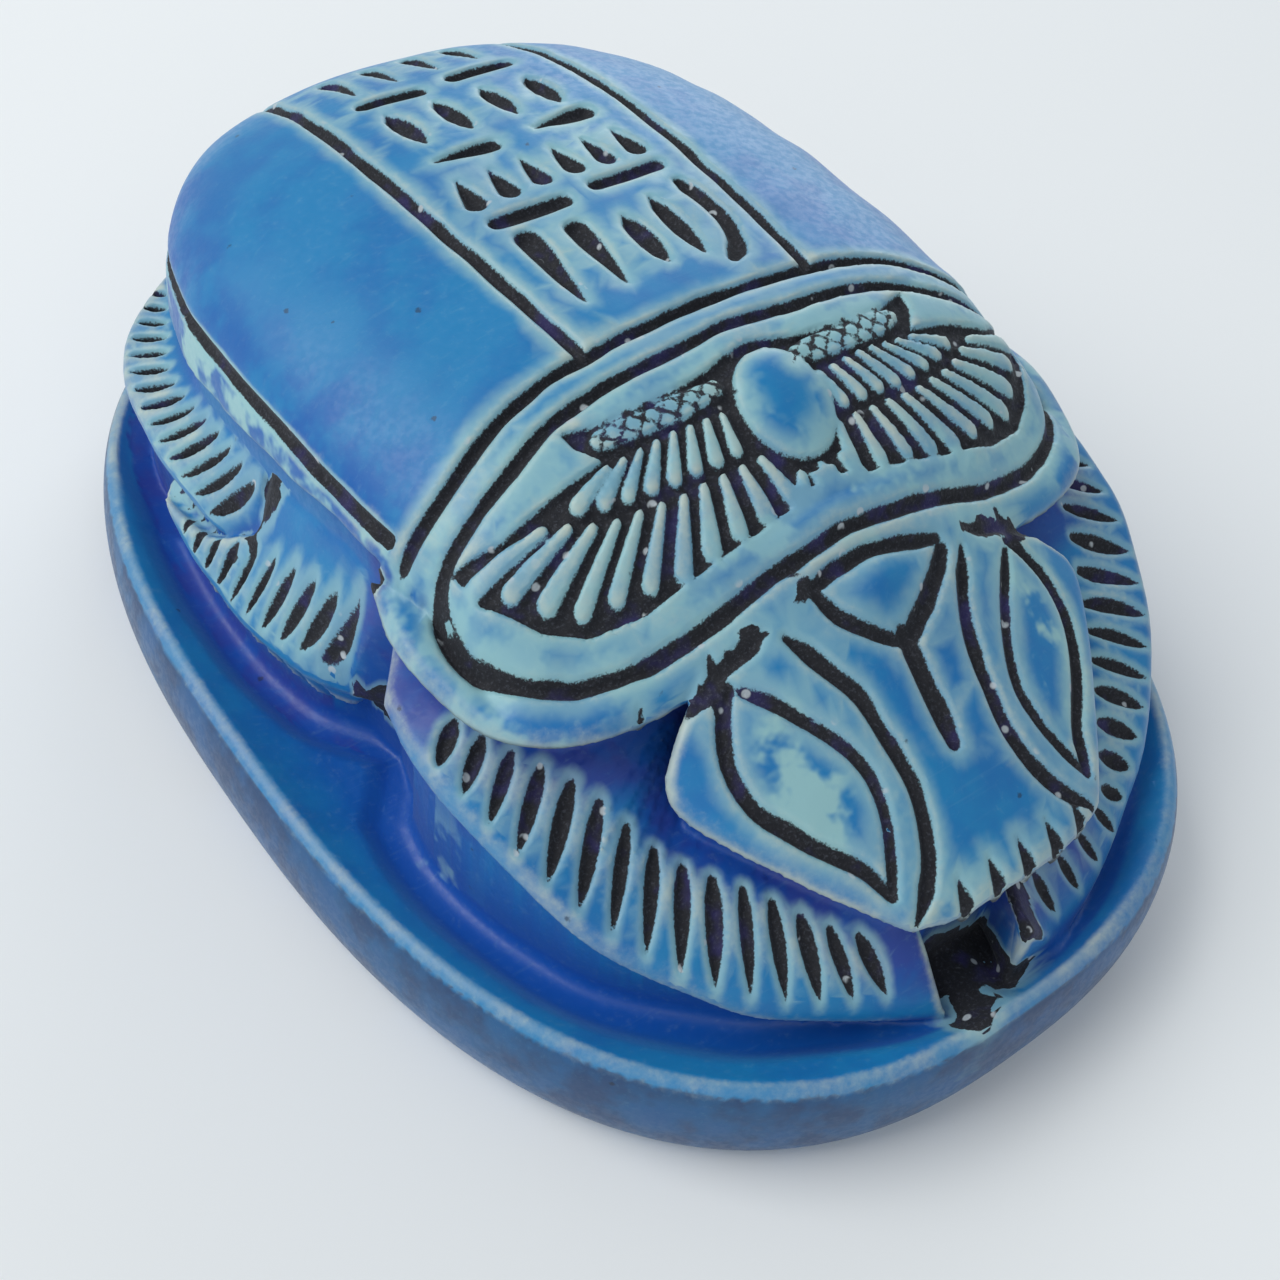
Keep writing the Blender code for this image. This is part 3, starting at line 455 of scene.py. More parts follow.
    def set_row(self, outer: Points, inner: Points, shares: Sequence[float], count: int, width: float,
                depth: float, kind: Carving = Carving.GROOVE, unevenness: float = 0.18,
                seed: int = 1) -> None:
        """Set a row of strokes between two guides.

        Args:
            outer: Line on which the strokes start.
            inner: Line on which they end.
            shares: Half widths along a stroke, as shares of the row's half width.
            count: Number of strokes.
            width: Width of a stroke.
            depth: Depth of its cut.
            kind: What the strokes do.
            unevenness: How much the widths differ from stroke to stroke.
            seed: Seed of that difference.
        """
        guides = [guide_curve("outer_guide", [outer]), guide_curve("inner_guide", [inner])]
        stroke = self.unit_stroke("unit_stroke", shares)
        values = {"Outer Guide": guides[0], "Inner Guide": guides[1], "Stroke": stroke, "Count": count,
                  "Width": width, "Unevenness": unevenness, "Seed": seed}
        self._evaluate(self.row, values, depth, kind)
        for item in (*guides, stroke):
            bpy.data.objects.remove(item, do_unlink=True)

    def follow(self, lines: Sequence[Points], width: float, depth: float, taper: float = 0.5,
               kind: Carving = Carving.GROOVE, wander: float = 0.5, seed: int = 1) -> None:
        """Carve grooves along lines.

        Args:
            lines: The lines, each through its own points.
            width: Width of the grooves.
            depth: Depth of their cut.
            taper: Share of the width that is left at the ends.
            kind: What the grooves do.
            wander: How far they stray from their lines.
            seed: Seed of the straying.
        """
        guide = guide_curve("guide", [smooth_line(line, 0.6) for line in lines])
        values = {"Guide": guide, "Step": 0.9, "Width": width, "Taper": taper, "Wander": wander, "Seed": seed}
        self._evaluate(self.path, values, depth, kind)
        bpy.data.objects.remove(guide, do_unlink=True)


# The carving, laid out in plan


@dataclass
class PlanGrid:
    """A raster of the plan, in millimetres."""

    half_width: float = 35.0
    half_length: float = 47.0
    step: float = 0.125

    def __post_init__(self) -> None:
        """Lay out the raster's places."""
        self.across = np.arange(-self.half_width, self.half_width + self.step / 2, self.step)
        self.along = np.arange(-self.half_length, self.half_length + self.step / 2, self.step)
        self.x, self.y = np.meshgrid(self.across, self.along, indexing="ij")

    def sample(self, values: np.ndarray, x: np.ndarray, y: np.ndarray) -> np.ndarray:
        """Read a raster between its places.

        Args:
            values: The raster's values.
            x: Places across.
            y: Places along.

        Returns:
            The values there.
        """
        u = np.clip((x + self.half_width) / self.step, 0, len(self.across) - 1.001)
        v = np.clip((y + self.half_length) / self.step, 0, len(self.along) - 1.001)
        i, j = u.astype(int), v.astype(int)
        s, t = u - i, v - j
        return ((values[i, j] * (1 - s) + values[i + 1, j] * s) * (1 - t)
                + (values[i, j + 1] * (1 - s) + values[i + 1, j + 1] * s) * t)


@dataclass
class CarvingMap:
    """How deep the carving goes and how far each place is from its edges."""

    grid: PlanGrid
    far: float = 4.0
    shoulder: float = 0.22
    floor: float = 0.42

    def __post_init__(self) -> None:
        """Start with an uncarved plan."""
        shape = self.grid.x.shape
        self.ink = np.full(shape, -self.far)
        self.standing = np.full(shape, -self.far)
        self.blot = np.full(shape, -self.far)
        self.cut = np.zeros(shape)

    def stamp(self, strokes: StrokeSet) -> None:
        """Press a set of strokes into the plan.

        Args:
            strokes: Object whose evaluated mesh holds the strokes.
        """
        grid = self.grid
        targets = {Carving.GROOVE: self.ink, Carving.STANDING: self.standing, Carving.BLOT: self.blot}
        target = targets[strokes.kind]
        for start, end, first, last in zip(strokes.starts, strokes.ends, strokes.start_radii,
                                           strokes.end_radii):
            extent = max(first, last) + self.far
            low = np.minimum(start, end) - extent + (grid.half_width, grid.half_length)
            high = np.maximum(start, end) + extent + (grid.half_width, grid.half_length)
            i0, j0 = np.maximum((low / grid.step).astype(int), 0)
            i1, j1 = np.maximum((high / grid.step).astype(int) + 1, 0)
            x, y = grid.x[i0:i1, j0:j1] - start[0], grid.y[i0:i1, j0:j1] - start[1]
            ahead = end - start
            along = np.clip((x * ahead[0] + y * ahead[1]) / max(float(ahead @ ahead), 1e-9), 0, 1)
            inside = first + (last - first) * along - np.hypot(x - along * ahead[0], y - along * ahead[1])
            np.maximum(target[i0:i1, j0:j1], inside, out=target[i0:i1, j0:j1])
            if strokes.depth > 0 and strokes.kind is Carving.GROOVE:
                dug = strokes.depth * ramp(inside, -self.shoulder, self.floor)
                np.maximum(self.cut[i0:i1, j0:j1], dug, out=self.cut[i0:i1, j0:j1])

    def spread_blots(self) -> None:
        """Fray the blots, of grime and of painted shadow, and add them to the inked places."""
        x, y = self.grid.x, self.grid.y
        frayed = self.blot + 0.5 * ripples(x, y, 2.4, 81) + 0.3 * ripples(x, y, 0.9, 82)
        self.dirt_and_shadow = np.where(self.blot > -self.far + 0.9, frayed, -self.far)
        np.maximum(self.ink, self.dirt_and_shadow, out=self.ink)


SPINDLE = (0.1, 0.7, 1.0, 1.0, 0.8, 0.1)
LEG_STROKE = (0.1, 0.6, 0.9, 1.0, 0.95, 0.55)
WEDGE = (0.1, 0.45, 0.7, 0.95, 1.0)
FEATHER = (0.5, 0.68, 0.86, 1.0)
TOOTH = (1.0, 0.6, 0.05)
BAR = (0.9, 1.0, 0.95)


@dataclass
class WingCaseCarving:
    """Lines of the band on the wing cases, and the rows of strokes in it."""

    band: Points = ((9.3, -3.2), (9.8, 4.0), (10.2, 12.0), (10.4, 22.0), (10.2, 31.0), (9.9, 39.8))
    hook: Points = ((7.0, 8.2), (7.3, 3.8), (6.4, 1.0), (5.0, -0.4))
    groove_width: float = 0.95
    groove_depth: float = 0.8
    stroke_depth: float = 0.8

    def carve(self, trees: StrokeTrees) -> None:
        """Carve the band's two lines and its rows.

        Args:
            trees: Maker that takes the strokes.
        """
        for side in Side:
            trees.follow([on_side(self.band, side)], self.groove_width, self.groove_depth, 0.9,
                         seed=5 + side.value)
        self._rows(trees)

    def _rows(self, trees: StrokeTrees) -> None:
        """Fill the band with rows of plain strokes, and set one hook beside the first row.

        Args:
            trees: Maker that takes the strokes.
        """
        rows = (
            (((-6.4, 0.6), (-2.9, 0.8)), ((-6.0, 7.8), (-2.6, 7.0)), 2, 1.75, WEDGE, 11),
            (((0.8, 1.2), (3.6, 0.8)), ((0.9, 6.6), (3.9, 7.6)), 2, 1.55, SPINDLE, 12),
            (((-6.8, 10.2), (1.4, 10.4)), ((-1.6, 10.0), (6.8, 10.6)), 2, 1.35, BAR, 13),
            (((-6.8, 12.8), (6.8, 13.0)), ((-6.6, 15.6), (6.6, 15.8)), 6, 1.5, TOOTH, 14),
            (((-6.6, 18.4), (1.8, 18.4)), ((-2.0, 18.2), (6.4, 18.8)), 2, 1.55, WEDGE, 15),
            (((-5.6, 20.8), (5.8, 20.8)), ((-5.8, 26.0), (6.0, 25.6)), 4, 1.6, SPINDLE, 16),
            (((-6.2, 28.4), (1.6, 28.6)), ((-1.8, 28.2), (6.2, 28.8)), 2, 1.5, BAR, 17),
            (((-5.4, 30.8), (5.4, 31.0)), ((-5.4, 35.2), (5.4, 35.2)), 4, 1.5, WEDGE, 18),
        )
        for outer, inner, count, width, shares, seed in rows:
            trees.set_row(outer, inner, shares, count, width, self.stroke_depth, unevenness=0.1, seed=seed)
        trees.follow([self.hook], 1.3, self.stroke_depth, 0.6, seed=19)


@dataclass
class ThoraxCarving:
    """Grooves of the thorax and the winged disc on it."""

    rear: Points = ((0.0, -3.0), (9.0, -3.3), (13.0, -3.6), (17.0, -4.5), (20.6, -5.8), (24.2, -6.6))
    inner: Points = ((0.0, -5.5), (6.0, -5.9), (10.0, -6.0), (14.0, -6.5), (17.0, -7.4), (20.8, -8.4),
                     (23.4, -9.4), (24.5, -11.5), (24.4, -14.0), (23.0, -16.6), (20.7, -18.5), (17.6, -19.7),
                     (15.0, -20.1), (12.0, -20.3), (8.0, -20.1), (4.0, -19.9), (0.0, -19.7))
    disc_middle: tuple[float, float] = (0.5, -11.7)
    disc_radii: tuple[float, float] = (3.35, 3.7)
    disc_margin: float = 0.75
    wing: Points = ((1.4, -7.4), (3.6, -8.0), (7.5, -8.4), (11.4, -8.2), (14.1, -7.3), (13.9, -8.6),
                    (12.8, -10.1), (16.5, -10.3), (20.3, -10.6), (23.2, -9.6), (22.9, -12.4), (20.6, -15.6),
                    (18.3, -17.2), (14.7, -18.0), (11.8, -17.9), (7.4, -17.7), (3.0, -17.3), (1.0, -16.8))
    field_depth: float = 0.65
    feathers: tuple[tuple[Points, Points, int, float, int], ...] = (
        (((4.0, -10.9), (8.5, -10.6), (12.6, -10.6)),
         ((4.4, -13.0), (9.4, -12.9), (13.4, -12.3), (15.3, -11.5)), 8, 0.98, 31),
        (((3.2, -14.2), (9.4, -14.1), (14.6, -13.2), (17.8, -11.5)),
         ((2.6, -16.8), (11.4, -17.3), (18.2, -15.9), (22.4, -11.4)), 11, 1.2, 33))
    tail: tuple[Points, Points] = (((-1.3, -16.0), (2.1, -16.0)), ((-1.9, -17.4), (2.7, -17.4)))
    arm: Points = ((3.4, -9.2), (7.6, -9.3), (12.0, -8.9))

    def carve(self, trees: StrokeTrees) -> None:
        """Carve the grooves, and set the feathers and the crossed strips that stand in the wings' fields.

        Args:
            trees: Maker that takes the strokes.
        """
        trees.follow([both_sides(self.rear)], 0.95, 0.9, 0.9, wander=0.35, seed=21)
        front = self.inner[8:]
        trees.follow([both_sides(self.inner)[6:-6], front, on_side(front, Side.LEFT)], 0.9, 0.8, 0.9,
                     wander=0.35, seed=22)
        for side in Side:
            for outer, inner, count, width, seed in self.feathers:
                trees.set_row(on_side(outer, side), on_side(inner, side), FEATHER, count, width, 0,
                              Carving.STANDING, unevenness=0.12, seed=seed + side.value)
            trees.follow([on_side(self.arm, side)], 1.5, 0, 0.8, Carving.STANDING, 0.1, seed=35 + side.value)
            for lean, seed in ((0.9, 38), (-0.9, 41)):
                outer = on_side(((3.2 - lean, -8.4), (11.8 - lean, -8.1)), side)
                inner = on_side(((3.2 + lean, -10.1), (11.8 + lean, -9.8)), side)
                trees.set_row(outer, inner, BAR, 7, 0.24, 0.25, unevenness=0.2, seed=seed + side.value)
        trees.set_row(*self.tail, FEATHER, 3, 1.2, 0, Carving.STANDING, seed=37)

    def disc_share(self, x: np.ndarray, y: np.ndarray) -> np.ndarray:
        """How far out a place is on the disc: 0 at its middle and 1 on its edge."""
        (middle_x, middle_y), (radius_x, radius_y) = self.disc_middle, self.disc_radii
        return np.hypot((x - middle_x) / radius_x, (y - middle_y) / radius_y)

    def sink(self, plan: CarvingMap) -> None:
        """Sink the wings' fields around their feathers and the disc.

        Args:
            plan: Carved plan of the upper layer.
        """
        x, y = plan.grid.x, plan.grid.y
        near = (np.abs(x) < 27) & (y > -21) & (y < -4)
        px, py = x[near], y[near]
        wing = depth_inside(np.array(self.wing), np.abs(px - 0.25), py)
        share = self.disc_share(px, py)
        disc = (1 - share) * sum(self.disc_radii) / 2
        sunk = np.maximum(wing, disc + self.disc_margin)
        raised = np.maximum(plan.standing[near], disc)
        inked = np.minimum(sunk, -raised)
        depth = self.field_depth * ramp(inked, -0.12, 0.18)
        plan.ink[near] = np.maximum(plan.ink[near], inked)
        swell = 0.85 * np.sqrt(np.clip(1 - share**2, 0, 1)) - 0.25 * ramp(disc, -0.2, 0.4)
        plan.cut[near] = np.maximum(plan.cut[near], depth) - swell


@dataclass
class HeadCarving:
    """Grooves of the head, its notched front, and dark blots around it: painted shade along the neck, and a
    smear.
    """

    brow: Points = ((7.6, -23.0), (6.2, -25.0), (4.8, -27.6), (4.3, -30.5), (4.1, -33.2), (4.9, -35.8),
                    (6.2, -37.6), (8.0, -39.0))
    lower_lid: Points = ((11.9, -23.4), (13.3, -24.8), (14.1, -27.0), (13.8, -29.3), (12.0, -32.2),
                         (9.6, -35.0), (8.7, -37.2))
    upper_lid: Points = ((11.4, -23.9), (9.2, -26.4), (7.4, -29.0), (6.5, -31.3), (6.7, -33.4),
                         (7.5, -35.2), (8.7, -37.3))
    boss: Points = ((-4.6, -21.6), (0.2, -21.3), (6.0, -22.2))
    arms: tuple[Points, Points] = (((-4.4, -21.9), (-3.7, -23.7), (-1.9, -25.3), (0.0, -26.4)),
                                   ((5.9, -22.8), (4.0, -24.3), (1.8, -25.5), (0.2, -26.4)))
    stem: Points = ((0.1, -26.0), (0.0, -29.0), (-0.1, -32.2))
    notches: tuple[Points, Points] = (((-4.4, -40.7), (1.0, -40.8), (6.5, -40.5)),
                                      ((-4.2, -38.3), (6.3, -38.2)))
    neck: Points = ((14.8, -23.2), (12.0, -22.6), (8.6, -22.2))
    nick: Points = ((12.3, -21.5), (12.4, -22.8), (13.3, -24.4))
    smear: Points = ((-6.4, -22.4), (-5.0, -21.6), (-3.6, -21.7))
    cheek_nick: Points = ((-17.3, -21.6), (-17.9, -23.2), (-18.3, -25.0))

    def carve(self, trees: StrokeTrees) -> None:
        """Carve the head.

        Args:
            trees: Maker that takes the strokes.
        """
        for side in Side:
            trees.follow([on_side(self.brow, side)], 1.05, 0.85, 0.3, seed=41 + side.value)
            trees.follow([on_side(self.lower_lid, side)], 0.98, 0.85, 0.6, seed=44 + side.value)
            trees.follow([on_side(self.upper_lid, side)], 0.78, 0.7, 0.6, seed=47 + side.value)
            neck = on_side(self.neck, side)
            trees.follow([neck, on_side(self.nick, side)], 0.9, 0.5, 0.3, wander=0.8, seed=56 + side.value)
            # Painted shade in the valley between the head and the thorax
            trees.follow([neck + (0, 0.2)], 0.9, 0, 0.3, Carving.BLOT, 1.0, seed=58 + side.value)
        for arm, width, seed in zip(self.arms, (0.9, 1.15), (49, 51)):
            trees.follow([arm], width, 0.8, 0.8, seed=seed)
        trees.follow([self.smear], 1.0, 0, 0.5, Carving.BLOT, 0.8, seed=59)
        trees.follow([self.boss], 0.85, 0.7, 0.6, seed=53)
        trees.follow([self.stem], 1.4, 0.85, 0.8, seed=54)
        trees.set_row(*self.notches, TOOTH, 5, 1.6, 0.9, unevenness=0.1, seed=55)
        trees.follow([self.cheek_nick], 0.8, 0.5, 0.3, seed=60)


@dataclass
class LegCarving:
    """Rows of strokes across the six legs, the grime between the forelegs, and painted shadow in the legs'
    corners.
    """

    left_foreleg: tuple[Points, Points] = (
        ((9.6, -39.9), (12.6, -38.7), (16.7, -36.4), (20.3, -33.5), (23.3, -29.7), (25.6, -25.4),
         (27.1, -20.8), (27.9, -16.2)),
        ((9.8, -36.7), (11.8, -35.0), (14.7, -31.4), (17.4, -28.6), (19.7, -24.6), (21.8, -21.0),
         (24.2, -17.6), (25.8, -14.6)))
    right_foreleg: tuple[Points, Points] = (
        ((14.6, -37.8), (18.9, -34.8), (22.4, -31.8), (25.1, -28.0), (26.6, -24.0), (27.5, -19.8),
         (28.0, -16.0)),
        ((13.0, -37.0), (15.9, -32.9), (18.3, -29.3), (20.7, -25.4), (22.1, -22.1), (24.0, -17.8),
         (25.6, -14.8)))
    midleg: tuple[Points, Points] = (
        ((27.2, -0.6), (28.3, 2.4), (29.3, 7.0), (29.5, 12.0), (29.1, 15.6)),
        ((25.3, -2.4), (26.3, 1.6), (27.2, 7.2), (28.1, 12.4), (28.1, 16.2)))
    hindleg: tuple[Points, Points] = (
        ((27.7, 14.1), (27.8, 18.4), (27.4, 23.3), (26.5, 28.3), (24.3, 33.3), (20.2, 38.4)),
        ((25.5, 11.2), (25.1, 16.4), (24.8, 22.0), (24.2, 27.0), (22.5, 31.1), (19.6, 37.2)))

    front_outer: Points = ((4.4, -41.5), (8.0, -41.0), (12.6, -39.3))
    front_inner: Points = ((3.6, -39.4), (7.2, -39.2), (11.4, -37.8))
    gap_dirt: tuple[Points, ...] = (((-4.6, -37.4), (-3.4, -39.2), (-2.8, -41.2)),
                                    ((-1.8, -38.4), (-2.4, -40.2)), ((0.6, -39.0), (-0.6, -42.4)))
    spill: tuple[Points, ...] = (((-3.4, -41.8), (-4.4, -43.2), (-5.4, -44.2)),)
    corner_shadow: Points = ((23.4, 9.8), (26.6, 8.4))
    shadow_spots: tuple = (((24.8, -5.0, 12.0), (2.6, 2.4, 3.6)), ((25.6, 9.6, 14.0), (3.0, 1.8, 2.4)),
                    ((25.2, -4.8, 24.4), (1.3, 0.9, 1.5)))

    def carve(self, trees: StrokeTrees) -> None:
        """Carve the strokes of each leg.

        Args:
            trees: Maker that takes the strokes.
        """
        for guides, sides, count, width, depth, seed in (
                (self.left_foreleg, (Side.LEFT,), 15, 1.05, 0.7, 61),
                (self.right_foreleg, (Side.RIGHT,), 13, 1.05, 0.7, 62),
                (self.midleg, Side, 10, 0.75, 1.4, 64), (self.hindleg, Side, 14, 0.75, 1.4, 67)):
            for side in sides:
                outer, inner = (on_side(smooth_line(guide, 1.0), side) for guide in guides)
                trees.set_row(outer, inner, LEG_STROKE, count, width, depth, unevenness=0.14,
                              seed=seed + side.value)
        trees.set_row(self.front_outer, self.front_inner, LEG_STROKE, 4, 0.95, 0.6, seed=73)
        for lines, width, seed in ((self.gap_dirt, 3.8, 70), (self.spill, 2.6, 74)):
            trees.follow(lines, width, 0, 0.7, Carving.BLOT, 1.0, seed=seed)
        # Painted shadow at the front end of each hind leg
        for side in Side:
            trees.follow([on_side(self.corner_shadow, side)], 1.7, 0, 0.6, Carving.BLOT, 0.8,
                         seed=76 + side.value)

    def shadow_spot(self, x: np.ndarray, y: np.ndarray, z: np.ndarray) -> np.ndarray:
        """Tell how far inside the painted shadow of the legs' corners a place is, in about millimetres.

        Args:
            x: Places across, from the beetle's middle.
            y: Places along.
            z: Heights.

        Returns:
            About the distance inside the dirt, negative outside.
        """
        inside = np.full(x.shape, -4.0)
        for (px, py, pz), (rx, ry, rz) in self.shadow_spots:
            share = np.sqrt(((np.abs(x) - px) / rx) ** 2 + ((y - py) / ry) ** 2 + ((z - pz) / rz) ** 2)
            inside = np.maximum(inside, 3 * (1 - share) + 0.4 * ripples(x + y, z + y, 1.8, 83))
        return np.where(inside > -0.2, inside, 4 * inside)


# The form


@dataclass
class Tier:
    """A raised part: its top, the distance inside its upper edge, and how its wall and edges are worked."""

    top: np.ndarray
    inside: np.ndarray
    undercut: float = 0.12
    deepest_undercut: float = 1.6
    rounding: float = 1.2
    fillet: float = 0.8
    lip: float | np.ndarray = 0.0
    overhangs: bool = False
    layer: Layer = Layer.UPPER
    worked: float | np.ndarray = 1.0

    def wall(self, below: np.ndarray) -> np.ndarray:
        """Distance inside the wall, which stands back under the lip at a depth below the top."""
        return self.inside - np.clip(self.undercut * (below - self.lip), 0, self.deepest_undercut)


@dataclass
class BaseSlab:
    """Oval slab with a rounded rim and a channel around the beetle."""

    length: float = 92.0
    width: float = 68.0
    roundness: float = 2.5
    rim_top: float = 8.7
    widest_at: float = 4.3
    rim_inset: float = 1.45
    foot_inset: float = 1.9
    channel_height: float = 7.0
    channel_width: float = 6.0
    dip: float = 0.8

    def lay_out(self, x: np.ndarray, y: np.ndarray) -> None:
        """Measure the plan in the slab's own places.

        Args:
            x: Places across, from the slab's middle.
            y: Places along.
        """
        share = np.maximum(reach(x, y, self.width / 2, self.length / 2, self.roundness), 1e-6)
        self.from_side = (1 / share - 1) * np.hypot(x, y)
        inner = np.maximum(self.from_side - self.rim_inset, 0)
        rise = np.clip((self.channel_width - inner) / self.channel_width, 0, 1) ** 2.2
        self.channel = self.channel_height + (self.rim_top + 0.12 - self.channel_height) * rise

    def level(self, z: float) -> np.ndarray:
        """Distance inside the slab at a height, negative outside.

        Args:
            z: The height.

        Returns:
            The distance inside the slab's outline.
        """
        if z >= self.widest_at:
            share = min((z - self.widest_at) / (self.rim_top + 0.3 - self.widest_at), 1)
            inset = self.rim_inset * (1 - math.sqrt(1 - share * share))
        else:
            share = min((self.widest_at - z) / self.widest_at, 1)
            inset = self.foot_inset * (1 - math.sqrt(1 - share * share))
        return rounded_least(self.from_side - inset, self.channel - z, 0.9)


@dataclass
class Beetle:
    """The beetle on the slab: heights of its parts in plan."""

    offset: float = 0.8
    shell_width: float = 51.8
    shell_length: float = 67.2
    shell_middle: float = 7.4
    shell_roundness: float = 2.64
    shell_edge: float = 24.6
    total_height: float = 35.6
    thorax_reach: float = 14.2
    thorax_drop: tuple[float, float] = (5.9, 9.8)
    thorax_end: float = 24.2
    thorax_blend: float = 1.2
    border_height: float = 27.8
    border_fall: float = 0.0023
    border_radius: float = 0.52
    lip_height: float = 26.3
    lip_fall: float = 0.16
    foreleg_spread: float = 1.02
    clearance: float = 2.4
    foreleg_edge: Points = ((4.0, -42.6), (7.5, -41.7), (10.8, -40.2), (15.1, -38.0), (18.3, -36.0),
                            (22.5, -32.0), (25.4, -28.0), (27.2, -23.5), (28.3, -19.0), (28.7, -14.5),
                            (28.0, -10.2))
    midleg_edge: Points = ((26.3, -2.6), (28.0, 0.2), (29.0, 5.0), (29.4, 10.0), (29.2, 16.0), (28.2, 22.0))
    hindleg_edge: Points = ((26.4, 9.2), (27.8, 13.5), (28.0, 19.0), (27.6, 25.0), (26.0, 31.0), (22.3, 36.8),
                            (17.0, 40.2), (10.0, 42.2), (6.0, 42.8))
    thorax_edge: Points = ((0.0, -22.6), (6.0, -22.7), (12.0, -22.6), (17.2, -22.2), (22.1, -20.8),
                           (25.4, -17.7), (26.8, -13.0), (27.0, -9.0), (25.6, -4.6))
    head_edge: Points = ((0.0, -40.3), (5.0, -40.0), (8.6, -38.9), (9.6, -37.8), (12.9, -34.0), (15.8, -30.0),
                         (17.8, -25.8), (16.5, -24.0), (13.0, -22.0))

    def shell_share(self, x: np.ndarray, y: np.ndarray) -> np.ndarray:
        """How far out a place is in the plan of the wing cases."""
        return reach(x, y - self.shell_middle, self.shell_width / 2, self.shell_length / 2,
                     self.shell_roundness)

    def shell_height(self, x: np.ndarray, y: np.ndarray) -> np.ndarray:
        """Height of the dome of the wing cases."""
        share = np.minimum(self.shell_share(x, y), 1)
        return self.shell_edge + (self.total_height - self.shell_edge) * (1 - share**2.4) ** (1 / 2.2)

    def thorax_height(self, x: np.ndarray, y: np.ndarray) -> np.ndarray:
        """Height of the thorax, which falls from the dome towards the head.

        Args:
            x: Places across, from the beetle's middle.
            y: Places along.

        Returns:
            The height at each place.
        """
        rear = -5.45 - 3.6 * (np.abs(x) / 24.0) ** 2.6
        share = np.maximum(rear - y, 0) / self.thorax_reach
        side = np.minimum(np.abs(x) / 20, 1) ** 2
        drop = self.thorax_drop[0] + (self.thorax_drop[1] - self.thorax_drop[0]) * side
        height = self.shell_height(x, np.maximum(y, rear)) - drop * share**1.6
        above_end = (height - self.thorax_end) / self.thorax_blend
        return self.thorax_end + self.thorax_blend * np.logaddexp(0, above_end)

    def head_height(self, x: np.ndarray, y: np.ndarray) -> np.ndarray:
        """Height of the head's plate.

        Args:
            x: Places across, from the beetle's middle.
            y: Places along.

        Returns:
            The height at each place.
        """
        forward = -22.0 - y
        crown = 0.0085 + 0.0003 * (22 - forward)
        boss = 0.5 * ramp(1 - np.hypot(x / 4.0, (forward - 1.2) / 2.2), 0, 1)
        return 28.0 - 0.66 * forward - crown * x * x + boss

    def border_distance(self, x: np.ndarray, y: np.ndarray, z: np.ndarray | float) -> np.ndarray:
        """Distance in space to the groove that runs around the foot of the wing cases.

        Args:
            x: Places across, from the beetle's middle.
            y: Places along.
            z: Heights.

        Returns:
            The distance, which grows quickly in front of the thorax's rear edge.
        """
        height = np.maximum(self.border_height - self.border_fall * np.maximum(y, 0) ** 2, self.shell_edge)
        rise = (height - self.shell_edge) / (self.total_height - self.shell_edge)
        line = (1 - rise**2.2) ** (1 / 2.4)
        share = np.maximum(self.shell_share(x, y), 1e-6)
        outwards = (share - line) / share * np.hypot(x, y - self.shell_middle)
        return np.hypot(outwards, z - height) + 2 * np.maximum(-5.2 - y, 0)

    def side_leg_height(self, line: np.ndarray, edge: float, x: np.ndarray, y: np.ndarray) -> np.ndarray:
        """Height of a side leg, whose steep plate rises from its edge to just under the wing cases.

        Args:
            line: Outer edge of the right leg, in plan.
            edge: Height of that edge.
            x: Places across, from the beetle's middle.
            y: Places along.

        Returns:
            The height at each place.
        """
        from_edge, _ = nearest_on(line, np.abs(x), y)
        share = np.maximum(self.shell_share(x, y), 1e-6)
        from_shell = np.maximum((share - 0.97) / share * np.hypot(x, y - self.shell_middle), 0)
        return edge + (22.9 - 0.18 * np.maximum(y, 0) - edge) * from_edge / (from_edge + from_shell + 1e-6)

    def foreleg_heights(self, line: np.ndarray, x: np.ndarray,
                        y: np.ndarray) -> tuple[np.ndarray, np.ndarray]:
        """Heights of the forelegs, which rise from the front to the thorax.

        Args:
            line: Outer edge of the right one, in plan.
            x: Places across, from the beetle's middle.
            y: Places along.

        Returns:
            The height of the outer edge nearest to each place, and the height there.
        """
        distance, edge_y = nearest_on(line, np.where(x > 0, x / self.foreleg_spread, -x), y)
        share = np.clip((edge_y - line[0][1]) / (line[-1][1] - line[0][1]), 0, 1)
        edge = 8.5 + 12.3 * np.sin(share * math.pi / 2) ** 1.25
        slope = np.interp(y, (-39.6, -25.6), (1.1, 0.3))
        return edge, edge + slope * distance

    def tiers(self, x: np.ndarray, y: np.ndarray, from_side: np.ndarray) -> list[Tier]:
        """Lay out the raised parts.

        Args:
            x: Places across, from the beetle's middle.
            y: Places along.
            from_side: Distances from the slab's side.

        Returns:
            The tiers, from the lowest to the highest.
        """
        side_x = np.abs(x)
        midleg = smooth_line(self.midleg_edge, 1.2)
        hindleg = smooth_line(self.hindleg_edge, 1.2)
        foreleg = smooth_line(self.foreleg_edge, 1.2)
        mid_plan = np.vstack([midleg, [(20.6, 21.4), (20.6, -6.8), (24.2, -5.4)]])
        hind_plan = np.vstack([hindleg, [(5.0, 36.0), (20.0, 20.0), (23.2, 11.8)]])
        wide = foreleg * (self.foreleg_spread, 1)
        rear = [(24.4, -5.6), (17.6, -6.0), (0.0, -12.8)]
        right_plan = np.vstack([[(1.2, -37.0), (-0.6, -42.7)], wide, rear])
        left_plan = np.vstack([[(5.6, -37.0), (6.1, -42.2)], foreleg[3:], rear])
        head = smooth_line(self.head_edge, 1.2)
        head_plan = both_sides(np.vstack([head, [(10.0, -18.0)]]))
        thorax = smooth_line(self.thorax_edge, 1.2)
        thorax_plan = both_sides(np.vstack([thorax, [(23.0, -3.5)]]))
        share = self.shell_share(x, y)
        shell_inside = (1 / np.maximum(share, 1e-6) - 1) * np.hypot(x, y - self.shell_middle)
        shell_top = self.shell_height(x, y)
        shell_lip = shell_top - (self.lip_height - self.lip_fall * np.maximum(y, 0))
